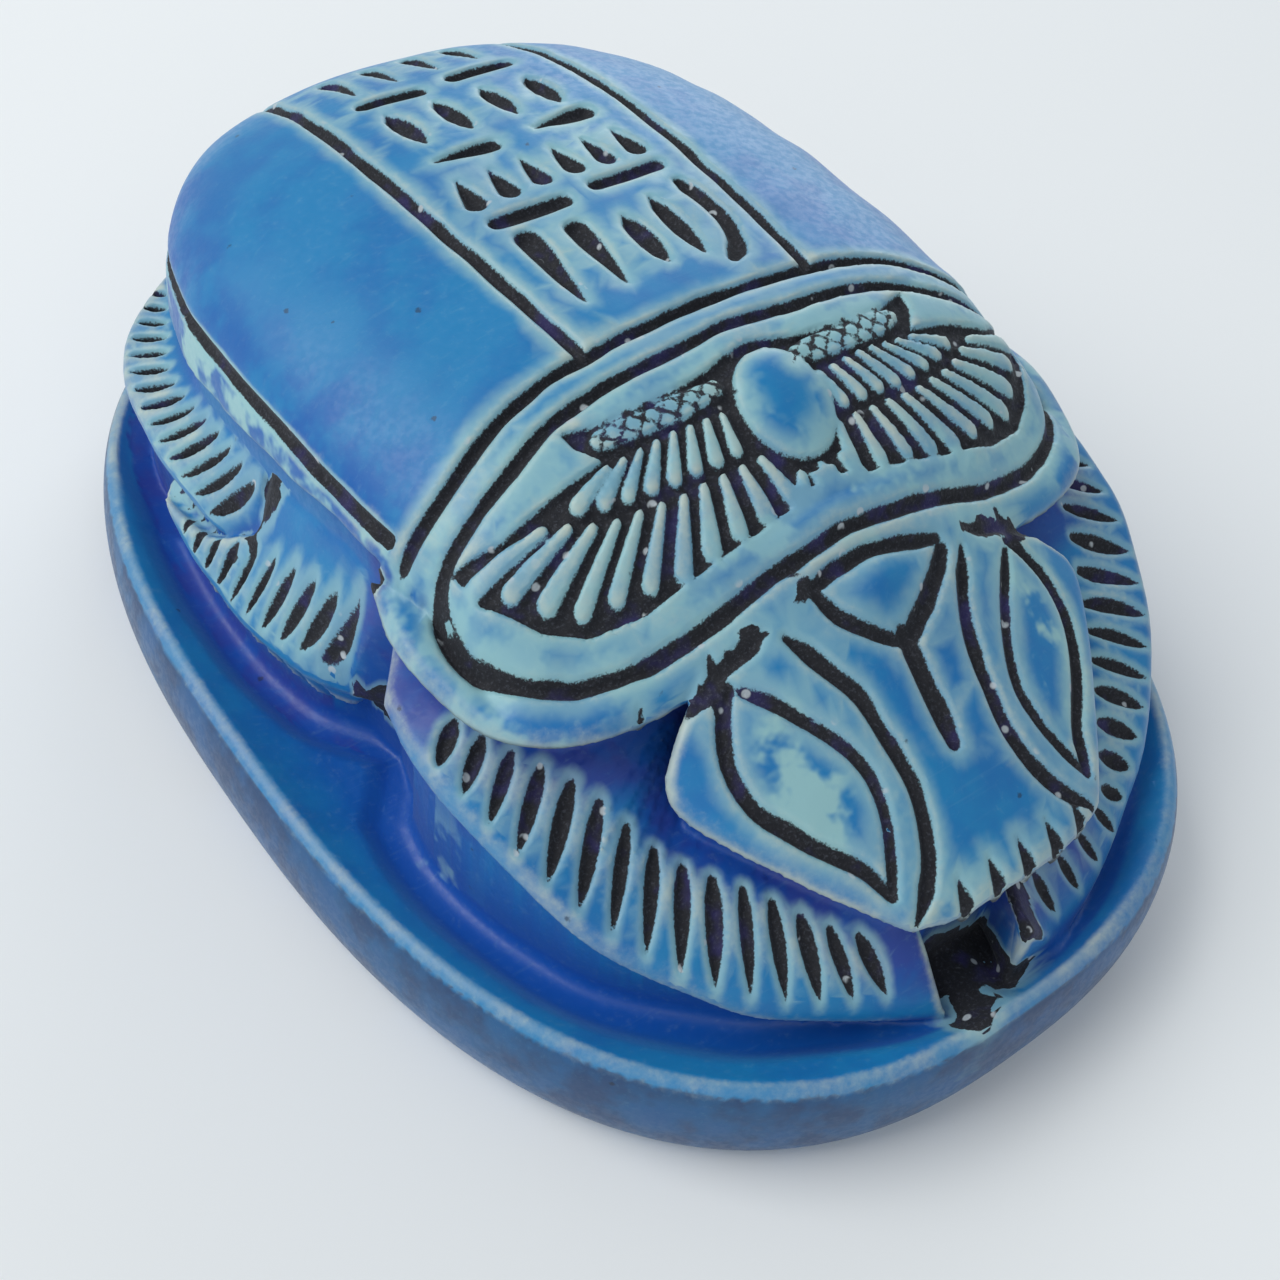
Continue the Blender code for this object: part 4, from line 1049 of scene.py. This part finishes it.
        fore_inside = np.maximum(depth_inside(right_plan, x, y), depth_inside(left_plan, -x, y))
        hind_inside = depth_inside(hind_plan, side_x, y)
        mid_top = self.side_leg_height(midleg, 13.0, x, y) - 2.4 * ramp(hind_inside, -1.0, 0.4)
        hind_top = self.side_leg_height(hindleg, 15.8, x, y)
        fore_edge, fore_top = self.foreleg_heights(foreleg, x, y)
        legs = [
            Tier(mid_top, depth_inside(mid_plan, side_x, y), 0.8, 1.4, 0.7, 1.4, mid_top - 11.8),
            Tier(hind_top, hind_inside, 0.9, 1.4, 0.7, 0.3, hind_top - 14.8),
            Tier(fore_top, fore_inside, 0.9, 1.8, 0.8, 1.4, fore_top - fore_edge + 1.1),
        ]
        for leg in legs:
            leg.inside = np.minimum(leg.inside, from_side - self.clearance)
            leg.layer = Layer.LOWER
            leg.worked = ramp(leg.inside, 0.0, 0.6)
        legs[0].worked *= ramp(hind_inside, -0.2, -1.2)
        return [
            *legs,
            Tier(self.head_height(x, y), depth_inside(head_plan, x, y), 1.0, 1.8, 0.8, 0.3, 0.9, True),
            Tier(shell_top, np.where(y > -6, shell_inside, -9.0), 1.2, 1.1, 0.9, 0.4, shell_lip),
            Tier(self.thorax_height(x, y), depth_inside(thorax_plan, x, y), 1.0, 1.8, 1.5, 0.3, 1.2, True),
        ]


@dataclass
class FormGrid:
    """Distances inside the amulet on a grid of space."""

    plan: PlanGrid
    stride: int = 2
    low: float = -0.5
    high: float = 36.5

    def __post_init__(self) -> None:
        """Lay out the grid's levels."""
        self.step = self.plan.step * self.stride
        self.levels = np.arange(self.low, self.high, self.step)

    def fill(self, slab: BaseSlab, beetle: Beetle, carvings: dict[Layer, CarvingMap]) -> None:
        """Join the slab and the carved tiers into one field.

        Args:
            slab: The slab.
            beetle: The beetle.
            carvings: The carved plan of each layer.
        """
        part = slice(None, None, self.stride)
        x, y = self.plan.x[part, part], self.plan.y[part, part]
        slab.lay_out(x, y)
        own_x = x - beetle.offset
        uneven_x = own_x + 0.12 * ripples(own_x, y, 11.0, 71)
        uneven_y = y + 0.12 * ripples(own_x, y, 12.0, 72)
        cuts = {layer: self.plan.sample(carving.cut, own_x, y) for layer, carving in carvings.items()}
        tiers = beetle.tiers(uneven_x, uneven_y, slab.from_side)
        legs = np.max([tier.inside for tier in tiers if tier.layer is Layer.LOWER], axis=0)
        slab.channel = slab.channel - slab.dip * ramp(legs, -2.2, -0.2)
        self.near = np.max([tier.inside for tier in tiers if tier.overhangs], axis=0)
        self.tops = {layer: np.max([np.where(tier.inside > -0.5, tier.top, 0) for tier in tiers
                                    if tier.layer is layer], axis=0) for layer in Layer}
        uneven = 0.06 * ripples(own_x, y, 6.0, 73)
        slants = []
        for tier in tiers:
            steep = np.hypot(*np.gradient(tier.top, self.step))
            slants.append(1 / np.sqrt(1 + np.minimum(steep, 2.5) ** 2))
            tier.top = (tier.top + uneven - cuts[tier.layer] * tier.worked).astype(np.float32)
        self.field = np.empty((*x.shape, len(self.levels)), np.float32)
        for k, z in enumerate(self.levels):
            total = slab.level(float(z))
            for tier, slant in zip(tiers, slants):
                below = tier.top - z
                shape = rounded_least(below * slant, tier.wall(below), tier.rounding)
                total = rounded_most(total, shape, tier.fillet)
            if 23 < z < 30:
                total = rounded_least(total, beetle.border_distance(own_x, y, z) - beetle.border_radius, 0.3)
            self.field[:, :, k] = np.minimum(total, z)

    def sample(self, values: np.ndarray, x: np.ndarray, y: np.ndarray) -> np.ndarray:
        """Read values of the grid's columns at the nearest column.

        Args:
            values: A value for each column.
            x: Places across.
            y: Places along.

        Returns:
            The value at each place.
        """
        i = np.clip(np.round((x + self.plan.half_width) / self.step).astype(int), 0, values.shape[0] - 1)
        j = np.clip(np.round((y + self.plan.half_length) / self.step).astype(int), 0, values.shape[1] - 1)
        return values[i, j]

    def surface(self) -> tuple[np.ndarray, np.ndarray]:
        """Find the surface where the field crosses zero.

        Returns:
            The corners in millimetres and the quads, with their faces outwards.
        """
        solid = self.field > 0
        spans = [(slice(0, -1), slice(1, None))[k] for k in (0, 1)]
        count = np.zeros([n - 1 for n in solid.shape], np.uint8)
        offsets = [(i, j, k) for i in (0, 1) for j in (0, 1) for k in (0, 1)]
        for i, j, k in offsets:
            count += solid[spans[i], spans[j], spans[k]]
        mixed = (count > 0) & (count < 8)
        cells = np.argwhere(mixed)
        number = np.full(mixed.shape, -1, np.int32)
        number[mixed] = np.arange(len(cells))
        total = np.zeros((len(cells), 3))
        crossings = np.zeros(len(cells))
        for a in offsets:
            for axis in range(3):
                if a[axis]:
                    continue
                b = tuple(value + (n == axis) for n, value in enumerate(a))
                fa = self.field[tuple((cells + a).T)]
                fb = self.field[tuple((cells + b).T)]
                hit = (fa > 0) != (fb > 0)
                share = np.where(hit, fa / np.where(hit, fa - fb, 1), 0)
                total[hit] += np.array(a) + share[hit, None] * (np.array(b) - a)
                crossings += hit
        corners = (cells + total / crossings[:, None]) * self.step
        corners += (-self.plan.half_width, -self.plan.half_length, self.low)
        quads = []
        for axis in range(3):
            ahead, other = (axis + 1) % 3, (axis + 2) % 3
            lower = np.moveaxis(solid, axis, 0)[:-1]
            upper = np.moveaxis(solid, axis, 0)[1:]
            hits = np.argwhere(np.moveaxis(lower != upper, 0, axis))
            out = np.moveaxis(lower, 0, axis)[tuple(hits.T)]
            around = []
            for u, v in ((-1, -1), (0, -1), (0, 0), (-1, 0)):
                cell = hits.copy()
                cell[:, ahead] += u
                cell[:, other] += v
                around.append(number[tuple(cell.T)])
            quad = np.stack(around, axis=1)
            quad[~out] = quad[~out][:, ::-1]
            quads.append(quad)
        return corners, np.vstack(quads)

    def bend(self, corners: np.ndarray, radius: float) -> np.ndarray:
        """Tell how the surface bends: positive on outward edges and negative in hollows.

        Args:
            corners: Places on the surface, in millimetres.
            radius: Reach of the measure.

        Returns:
            The share of empty space around each place, less a half.
        """
        filled = np.clip(self.field / self.step + 0.5, 0, 1)
        half = max(1, round(radius / self.step))
        for axis in range(3):
            padded = np.concatenate([np.take(filled, [0] * (half + 1), axis), filled,
                                     np.take(filled, [-1] * half, axis)], axis)
            total = np.cumsum(padded, axis, dtype=np.float32)
            size = filled.shape[axis]
            upper = np.take(total, range(2 * half + 1, 2 * half + 1 + size), axis)
            lower = np.take(total, range(size), axis)
            filled = (upper - lower) / (2 * half + 1)
        origin = (self.plan.half_width, self.plan.half_length, -self.low)
        places = np.clip((corners + origin) / self.step, 0, np.array(filled.shape) - 1.001)
        cells = places.astype(int)
        share = places - cells
        total = np.zeros(len(corners))
        for offset in ((i, j, k) for i in (0, 1) for j in (0, 1) for k in (0, 1)):
            weight = np.prod(np.where(offset, share, 1 - share), axis=1)
            total += weight * filled[tuple((cells + offset).T)]
        return 0.5 - total


# Finishes


def colour(red: int, green: int, blue: int) -> tuple[float, float, float, float]:
    """Turn a screen colour from 0 to 255 into a linear one."""
    return (*(((value / 255 + 0.055) / 1.055) ** 2.4 if value > 10 else value / 3294
              for value in (red, green, blue)), 1.0)


class ShaderMaker:
    """A material under construction, with short ways to add nodes and links."""

    def __init__(self, name: str) -> None:
        """Start a material with its shader and object coordinates in millimetres.

        Args:
            name: Name of the material.
        """
        self.material = bpy.data.materials.new(name)
        self.material.use_nodes = True
        self.nodes = self.material.node_tree.nodes
        self.links = self.material.node_tree.links
        self.shader = self.nodes["Principled BSDF"]
        place = self.nodes.new("ShaderNodeTexCoord")
        self.place = self.add("ShaderNodeMapping", {"Vector": place.outputs["Object"],
                                                    "Scale": (1 / MILLIMETRE,) * 3})

    def add(self, kind: str, values: dict | None = None, **settings: object) -> Socket:
        """Add a node and return its first output.

        Args:
            kind: The node's type.
            values: Input name or number to a socket or to a plain value.
            **settings: Properties of the node.

        Returns:
            The first output that is in use.
        """
        made = self.nodes.new(kind)
        for name, value in settings.items():
            setattr(made, name, value)
        for name, value in (values or {}).items():
            if isinstance(value, Socket):
                self.links.new(value, made.inputs[name])
            else:
                made.inputs[name].default_value = value
        return next(socket for socket in made.outputs if socket.enabled)

    def calculate(self, operation: str, a: object, b: object) -> Socket:
        """Calculate with two values."""
        return self.add("ShaderNodeMath", {0: a, 1: b}, operation=operation)

    def times(self, a: object, b: object) -> Socket:
        """Multiply two values."""
        return self.calculate("MULTIPLY", a, b)

    def plus(self, a: object, b: object) -> Socket:
        """Add two values."""
        return self.calculate("ADD", a, b)

    def minus(self, a: object, b: object) -> Socket:
        """Take one value from another."""
        return self.calculate("SUBTRACT", a, b)

    def span(self, value: object, low: float, high: float, bottom: float = 0.0,
             top: float = 1.0) -> Socket:
        """Rise smoothly from the bottom to the top value between two limits."""
        return self.add("ShaderNodeMapRange", {0: value, 1: low, 2: high, 3: bottom, 4: top},
                        interpolation_type="SMOOTHSTEP")

    def noise(self, scale: float, detail: float, roughness: float, stretch: tuple | None = None) -> Socket:
        """Make noise with a number of waves to the millimetre.

        Args:
            scale: Waves to the millimetre.
            detail: Number of finer layers.
            roughness: Strength of the finer layers.
            stretch: Rotation and scale of the noise's own axes, where it is stretched.

        Returns:
            The noise's value.
        """
        vector = self.place
        if stretch is not None:
            vector = self.add("ShaderNodeMapping", {"Vector": self.place, "Rotation": stretch[0],
                                                    "Scale": stretch[1]})
        return self.add("ShaderNodeTexNoise", {"Vector": vector, "Scale": scale, "Detail": detail,
                                               "Roughness": roughness})

    def attribute(self, name: str) -> Socket:
        """Read one of the piece's own attributes.

        Args:
            name: Name of the attribute.

        Returns:
            Its value.
        """
        made = self.nodes.new("ShaderNodeAttribute")
        made.attribute_name = name
        return made.outputs["Fac"]

    def blend(self, first: object, second: object, factor: object) -> Socket:
        """Mix two colours.

        Args:
            first: Colour at a factor of 0.
            second: Colour at a factor of 1.
            factor: Share of the second colour.

        Returns:
            The mixed colour.
        """
        made = self.nodes.new("ShaderNodeMix")
        made.data_type = "RGBA"
        for number, value in ((0, factor), (6, first), (7, second)):
            if isinstance(value, Socket):
                self.links.new(value, made.inputs[number])
            else:
                made.inputs[number].default_value = value
        return made.outputs[2]

    def drive(self, name: str, value: Socket) -> None:
        """Link a socket to an input of the shader."""
        self.links.new(value, self.shader.inputs[name])


@dataclass(frozen=True)
class BlueGlaze:
    """Turquoise-blue glaze: pale where it is thin, deep where it pools, dark in the carving, with painted
    shade in hollows, in the channel, under overhangs and on the slab's side.
    """

    mid: tuple = colour(22, 126, 184)
    deep: tuple = colour(12, 76, 166)
    pale: tuple = colour(146, 192, 198)
    cream: tuple = colour(190, 202, 190)
    violet: tuple = colour(58, 50, 140)
    shade: tuple = colour(36, 64, 106)
    ink: tuple = colour(28, 30, 37)
    ink_worn: tuple = colour(70, 74, 84)
    dot: tuple = colour(190, 200, 206)
    roughness: float = 0.4

    def build(self) -> bpy.types.Material:
        """Build the material.

        Returns:
            The glaze.
        """
        make = ShaderMaker("blue_glaze")
        broad = make.noise(0.07, 3, 0.55)
        patches = make.noise(0.28, 3, 0.6)
        grain = make.noise(1.6, 4, 0.65)
        crumbs = make.noise(4.5, 3, 0.7)
        brushed = make.noise(0.5, 3, 0.6, ((0, 0, 0.7), (0.14, 5.0, 5.0)))
        ink, edge, hollow, border, bloom, painted_shade, under, channel, side = (make.attribute(name) for name in (
            "ink", "edge", "hollow", "border", "bloom", "painted_shade", "under", "channel", "side"))
        sunk = make.times(hollow, -1.0)

        # Depth of the blue, with painted shade in hollows, in the channel and beside the walls
        tone = make.span(make.plus(make.times(broad, 0.6), make.times(patches, 0.4)), 0.42, 0.62)
        tint = make.blend(self.mid, self.deep, make.times(tone, 0.35))
        # Deeper blue in hollows: partly thicker glaze, partly painted shade
        pooled_and_shaded = make.span(make.minus(sunk, make.times(patches, 0.06)), -0.01, 0.13)
        tint = make.blend(tint, self.deep, make.times(pooled_and_shaded, 0.8))
        beside = make.times(make.span(border, 7.0, 0.6), make.span(patches, 0.35, 0.6, 0.15, 0.6))
        tint = make.blend(tint, self.deep, beside)
        # Painted shade: deeper blue over the channel towards the beetle's foot, less at the front
        tint = make.blend(tint, self.deep, make.times(channel, make.span(broad, 0.3, 0.6, 0.95, 0.7)))
        # Painted shade in deep blue and violet under the wing cases' lip and on the legs beside the head and
        # thorax
        tint = make.blend(tint, self.deep, make.times(painted_shade, 0.85))
        tint = make.blend(tint, self.violet, make.times(painted_shade, make.span(patches, 0.42, 0.62, 0.05, 0.45)))
        # Pale beside the carving, on edges and where the glaze is rubbed
        nearness = make.plus(ink, make.times(make.minus(patches, 0.5), 1.8))
        halo = make.times(make.span(nearness, -1.45, -0.15), make.span(broad, 0.3, 0.65, 0.9, 0.55))
        tint = make.blend(tint, self.pale, halo)
        tint = make.blend(tint, self.pale, make.times(bloom, make.span(patches, 0.4, 0.56, 1.0, 0.0)))
        # Painted shade on the slab's outer side
        tint = make.blend(tint, self.shade, make.times(side, make.span(patches, 0.35, 0.65, 0.95, 0.6)))
        worn = make.span(make.plus(edge, make.times(make.minus(grain, 0.5), 0.1)), 0.05, 0.2)
        tint = make.blend(tint, self.cream, make.times(worn, make.span(patches, 0.35, 0.65, 0.45, 0.85)))
        tint = make.blend(tint, self.pale, make.span(brushed, 0.56, 0.76, 0.0, 0.06))
        tint = make.blend(tint, self.pale, make.times(make.span(grain, 0.56, 0.74), 0.07))
        specks = make.add("ShaderNodeTexVoronoi", {"Vector": make.place, "Scale": 0.22})
        tint = make.blend(tint, self.ink, make.span(make.plus(specks, make.times(crumbs, 0.1)),
                                                    0.11, 0.08, 0.0, 0.6))

        # Grime in the carving, and painted shade on the walls under the head's and thorax's lips
        ragged = make.plus(ink, make.times(make.minus(crumbs, 0.5), 0.3))
        # The dark fill covers the grime in the carving and the painted shade under the lips
        filled = make.calculate("MAXIMUM", make.span(ragged, -0.04, 0.05), make.times(under, 0.9))
        dirt_and_shadow = make.blend(self.ink, self.ink_worn, make.span(crumbs, 0.5, 0.75, 0.0, 0.8))
        dirt_and_shadow = make.blend(dirt_and_shadow, self.violet, make.span(patches, 0.52, 0.7, 0.0, 0.3))
        tint = make.blend(tint, dirt_and_shadow, filled)
        beads = make.add("ShaderNodeTexVoronoi", {"Vector": make.place, "Scale": 0.55})
        beads = make.times(make.span(beads, 0.2, 0.13), make.span(ink, -0.5, 0.0))
        tint = make.blend(tint, self.dot, make.times(beads, make.span(patches, 0.5, 0.54, 0.0, 0.85)))
        make.drive("Base Color", tint)

        rubbed = make.span(grain, 0.35, 0.7, self.roughness - 0.04, self.roughness + 0.14)
        make.drive("Roughness", make.plus(make.times(filled, 0.35), rubbed))
        relief = make.plus(make.times(make.times(crumbs, filled), 0.9),
                           make.plus(make.times(brushed, 0.06), make.times(grain, 0.12)))
        bump = make.add("ShaderNodeBump", {"Height": relief, "Strength": 0.3, "Distance": 0.3 * MILLIMETRE})
        make.drive("Normal", bump)
        for name, value in (("IOR", 1.45), ("Sheen Weight", 0.12), ("Sheen Roughness", 0.4),
                            ("Sheen Tint", (0.8, 0.9, 1.0, 1.0))):
            make.shader.inputs[name].default_value = value
        return make.material


@dataclass(frozen=True)
class PlainFloor:
    """Pale matt floor."""

    tint: tuple = colour(238, 242, 244)

    def build(self) -> bpy.types.Material:
        """Build the material.

        Returns:
            The material.
        """
        make = ShaderMaker("pale_floor")
        make.shader.inputs["Base Color"].default_value = self.tint
        make.shader.inputs["Roughness"].default_value = 0.8
        return make.material


# Assembly


@dataclass
class Scarab:
    """The amulet: its form, its carving and its glaze."""

    slab: BaseSlab = field(default_factory=BaseSlab)
    beetle: Beetle = field(default_factory=Beetle)
    wing_cases: WingCaseCarving = field(default_factory=WingCaseCarving)
    thorax: ThoraxCarving = field(default_factory=ThoraxCarving)
    head: HeadCarving = field(default_factory=HeadCarving)
    legs: LegCarving = field(default_factory=LegCarving)
    most_triangles: int = 192_000

    def carve(self, plan: PlanGrid, material: bpy.types.Material) -> dict[Layer, CarvingMap]:
        """Set out all strokes and press them into the plan.

        Args:
            plan: Raster of the plan.
            material: Finish that the strokes carry.

        Returns:
            The carved plan of each layer.
        """
        carvings = {}
        for layer, parts in ((Layer.UPPER, (self.wing_cases, self.thorax, self.head)),
                             (Layer.LOWER, (self.legs,))):
            trees = StrokeTrees(material)
            for part in parts:
                part.carve(trees)
            carvings[layer] = CarvingMap(plan)
            for strokes in trees.made:
                carvings[layer].stamp(strokes)
            LOG.info("%s carving: %d sets of strokes", layer.value, len(trees.made))
        self.thorax.sink(carvings[Layer.UPPER])
        for carving in carvings.values():
            carving.spread_blots()
        return carvings

    def build(self) -> bpy.types.Object:
        """Build the amulet.

        Returns:
            The finished piece.
        """
        glaze = BlueGlaze().build()
        plan = PlanGrid()
        carvings = self.carve(plan, glaze)
        form = FormGrid(plan, stride=2)
        form.fill(self.slab, self.beetle, carvings)
        corners, quads = form.surface()
        mesh = bpy.data.meshes.new("scarab_amulet_carved")
        mesh.from_pydata(corners * MILLIMETRE, [], quads)
        piece = bpy.data.objects.new("scarab_amulet_carved", mesh)
        bpy.context.scene.collection.objects.link(piece)
        piece = self._thin(piece, 2 * len(quads))
        self._mark(piece.data, plan, carvings, form)
        piece.data.shade_smooth()
        piece.data.materials.clear()
        piece.data.materials.append(glaze)
        return piece

    def _thin(self, piece: bpy.types.Object, triangles: int) -> bpy.types.Object:
        """Take out triangles where the surface is flat.

        Args:
            piece: The piece.
            triangles: Number of its triangles.

        Returns:
            The same piece, with fewer triangles where it had too many.
        """
        if triangles > self.most_triangles:
            thinner = piece.modifiers.new("thin", "DECIMATE")
            thinner.ratio = self.most_triangles / triangles
            graph = bpy.context.evaluated_depsgraph_get()
            mesh = bpy.data.meshes.new_from_object(piece.evaluated_get(graph))
            piece.modifiers.remove(thinner)
            piece.data = mesh
        return piece

    def _mark(self, mesh: bpy.types.Mesh, plan: PlanGrid, carvings: dict[Layer, CarvingMap],
              form: FormGrid) -> None:
        """Write the measures that the glaze follows onto the mesh.

        Args:
            mesh: The amulet's mesh.
            plan: Raster of the plan.
            carvings: The carved plan of each layer.
            form: The grid that the mesh was found on.
        """
        places = np.zeros(len(mesh.vertices) * 3)
        mesh.vertices.foreach_get("co", places)
        places = places.reshape(-1, 3) / MILLIMETRE
        x, y, z = places.T
        own_x = x - self.beetle.offset
        normals = np.zeros(len(mesh.vertices) * 3)
        mesh.vertex_normals.foreach_get("vector", normals)
        level = normals.reshape(-1, 3)[:, 2]
        tops = {layer: form.sample(top, x, y) for layer, top in form.tops.items()}
        near = form.sample(form.near, x, y)
        is_upper = np.abs(tops[Layer.UPPER] - z) < np.abs(tops[Layer.LOWER] - z)
        self.slab.lay_out(x, y)
        on_slab = ramp(z - self.slab.channel, 1.2, 0.3)
        upper, lower, dirt_and_shadow = (plan.sample(values, own_x, y) for values in (
            carvings[Layer.UPPER].ink, carvings[Layer.LOWER].ink, carvings[Layer.LOWER].dirt_and_shadow))
        upper = -4 + (upper + 4) * ramp(level, 0.08, 0.24)
        lower = -4 + (lower + 4) * ramp(level, 0.02, 0.12)
        lower = np.where(lower < -0.1, 2 * lower + 0.1, lower)
        ink = np.where(is_upper, upper, np.where(on_slab > 0.5, dirt_and_shadow, lower))
        # Painted shadow in the legs' corners joins the dark of the carving
        ink = np.where(on_slab > 0.3, ink, np.maximum(ink, self.legs.shadow_spot(own_x, y, z)))
        border = self.beetle.border_radius + 0.1 - self.beetle.border_distance(own_x, y, z)
        ink = np.where(z > 5.0, np.maximum(ink, border * np.where(border > 0, 1.5, 4.0)), -4.0)
        on_wall = (self.beetle.shell_share(own_x, y) > 0.9) & (y > -6) & is_upper
        lip_level = self.beetle.lip_height - self.beetle.lip_fall * np.maximum(y, 0)
        below_border = 27.6 - self.beetle.border_fall * np.maximum(y, 0) ** 2 - z
        lip = ramp(below_border, 0.0, 0.6) * ramp(z - lip_level, -0.4, 0.1) * on_wall
        # Painted shade on the wing cases' wall below the lip
        recess = ramp(lip_level - z, 0.0, 0.7) * on_wall
        eye = 1 - np.hypot((np.abs(own_x) - 10.3) / 3.4, (y + 29.6) / 5.4)
        disc = ramp(self.thorax.disc_share(own_x, y), 0.3, 0.75)
        plate = 0.75 * ramp(y, -5.2, -6.6) * ramp(y, -22.0, -20.5) * disc
        # Painted shade on the walls under the head's and thorax's overhanging edges
        under = ramp(tops[Layer.UPPER] - z, 0.8, 1.5) * ramp(level, 0.45, 0.2) * (near > -0.8) * is_upper
        # Painted shade on the legs beside the head's and thorax's walls
        shade = ramp(near, -2.3, -0.3) * ~is_upper * (1 - on_slab)
        measures = {
            "ink": ink,
            "border": np.clip(-border, 0, 20),
            "bloom": np.maximum(lip, np.maximum(ramp(eye, -0.1, 0.35), plate) * (is_upper & (near > -0.8))),
            "painted_shade": np.maximum(recess, shade),
            "under": under,
            "edge": form.bend(places, 0.75),
            "hollow": form.bend(places, 2.5),
            # painted shade over the channel towards the beetle's foot, less at the front
            "channel": on_slab * ramp(self.slab.from_side, 2.0, 6.5) * ramp(y, -44.0, -26.0),
            # painted shade on the slab's outer side
            "side": ramp(self.slab.from_side, 1.8, 0.5) * (z < 8.2),
        }
        for name, values in measures.items():
            mesh.attributes.new(name, "FLOAT", "POINT").data.foreach_set("value", values.astype(np.float32))


@dataclass
class Studio:
    """Camera, soft lights and floor."""

    turn: float = -43.58
    rise: float = 48.875
    roll: float = 9.044
    distance: float = 122.04
    target: tuple[float, float, float] = (-5.348, -8.989, 11.384)
    lens: float = 47.8125

    def axes(self) -> tuple[Vector, Vector, Vector]:
        """Return the camera's right, up and backward directions.

        Returns:
            Three unit vectors.
        """
        turn, rise, roll = (math.radians(value) for value in (self.turn, self.rise, self.roll))
        back = Vector((math.sin(turn) * math.cos(rise), -math.cos(turn) * math.cos(rise), math.sin(rise)))
        right = Vector((math.cos(turn), math.sin(turn), 0))
        up = back.cross(right)
        tilted_right = right * math.cos(roll) + up * math.sin(roll)
        return tilted_right, up * math.cos(roll) - right * math.sin(roll), back

    def add_camera(self) -> None:
        """Place the camera."""
        right, up, back = self.axes()
        place = (Vector(self.target) + back * self.distance) * MILLIMETRE
        camera = bpy.data.cameras.new("camera")
        camera.lens = self.lens
        camera.sensor_width = 36.0
        camera.clip_start = 0.005
        holder = bpy.data.objects.new("camera", camera)
        rows = [(*row, at) for row, at in zip(zip(right, up, back), place)]
        holder.matrix_world = Matrix((*rows, (0, 0, 0, 1)))
        bpy.context.scene.collection.objects.link(holder)
        bpy.context.scene.camera = holder

    def add_light(self, name: str, place: tuple, size: float, power: float, tint: tuple = (1, 1, 1)) -> None:
        """Add a soft square light that faces the amulet.

        Args:
            name: Name of the light.
            place: Its place, in metres.
            size: Length of its side, in metres.
            power: Its power, in watts.
            tint: Its colour.
        """
        light = bpy.data.lights.new(name, "AREA")
        light.size = size
        light.energy = power
        light.color = tint
        holder = bpy.data.objects.new(name, light)
        holder.location = place
        holder.rotation_euler = (Vector((0, 0, 0.015)) - Vector(place)).to_track_quat("-Z", "Y").to_euler()
        bpy.context.scene.collection.objects.link(holder)

    def build(self) -> None:
        """Build the studio."""
        self.add_camera()
        self.add_light("key_light", (-0.45, 0.3, 0.6), 0.6, 4.2, (1.0, 0.985, 0.96))
        self.add_light("back_light", (0.7, 0.55, 0.25), 0.7, 3.6, (0.94, 0.97, 1.0))
        self.add_light("front_light", (-0.35, -0.55, 0.4), 0.6, 0.8)
        world = bpy.data.worlds.new("studio")
        world.use_nodes = True
        world.node_tree.nodes["Background"].inputs["Color"].default_value = (0.9, 0.95, 1.0, 1.0)
        world.node_tree.nodes["Background"].inputs["Strength"].default_value = 0.4
        bpy.context.scene.world = world
        bpy.context.scene.view_settings.view_transform = "Standard"
        mesh = bpy.data.meshes.new("floor")
        mesh.from_pydata([(-3, -3, 0), (3, -3, 0), (3, 3, 0), (-3, 3, 0)], [], [(0, 1, 2, 3)])
        floor = bpy.data.objects.new("floor", mesh)
        mesh.materials.append(PlainFloor().build())
        bpy.context.scene.collection.objects.link(floor)


def main() -> None:
    """Build the amulet and the studio, and report the piece."""
    logging.basicConfig(level=logging.INFO, format="%(name)s: %(message)s")
    piece = Scarab().build()
    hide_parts("scarab_amulet")
    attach(piece, "root")
    LOG.info("%s: %d triangles", piece.name, sum(len(face.vertices) - 2 for face in piece.data.polygons))
    Studio().build()


if __name__ == "__main__":
    main()
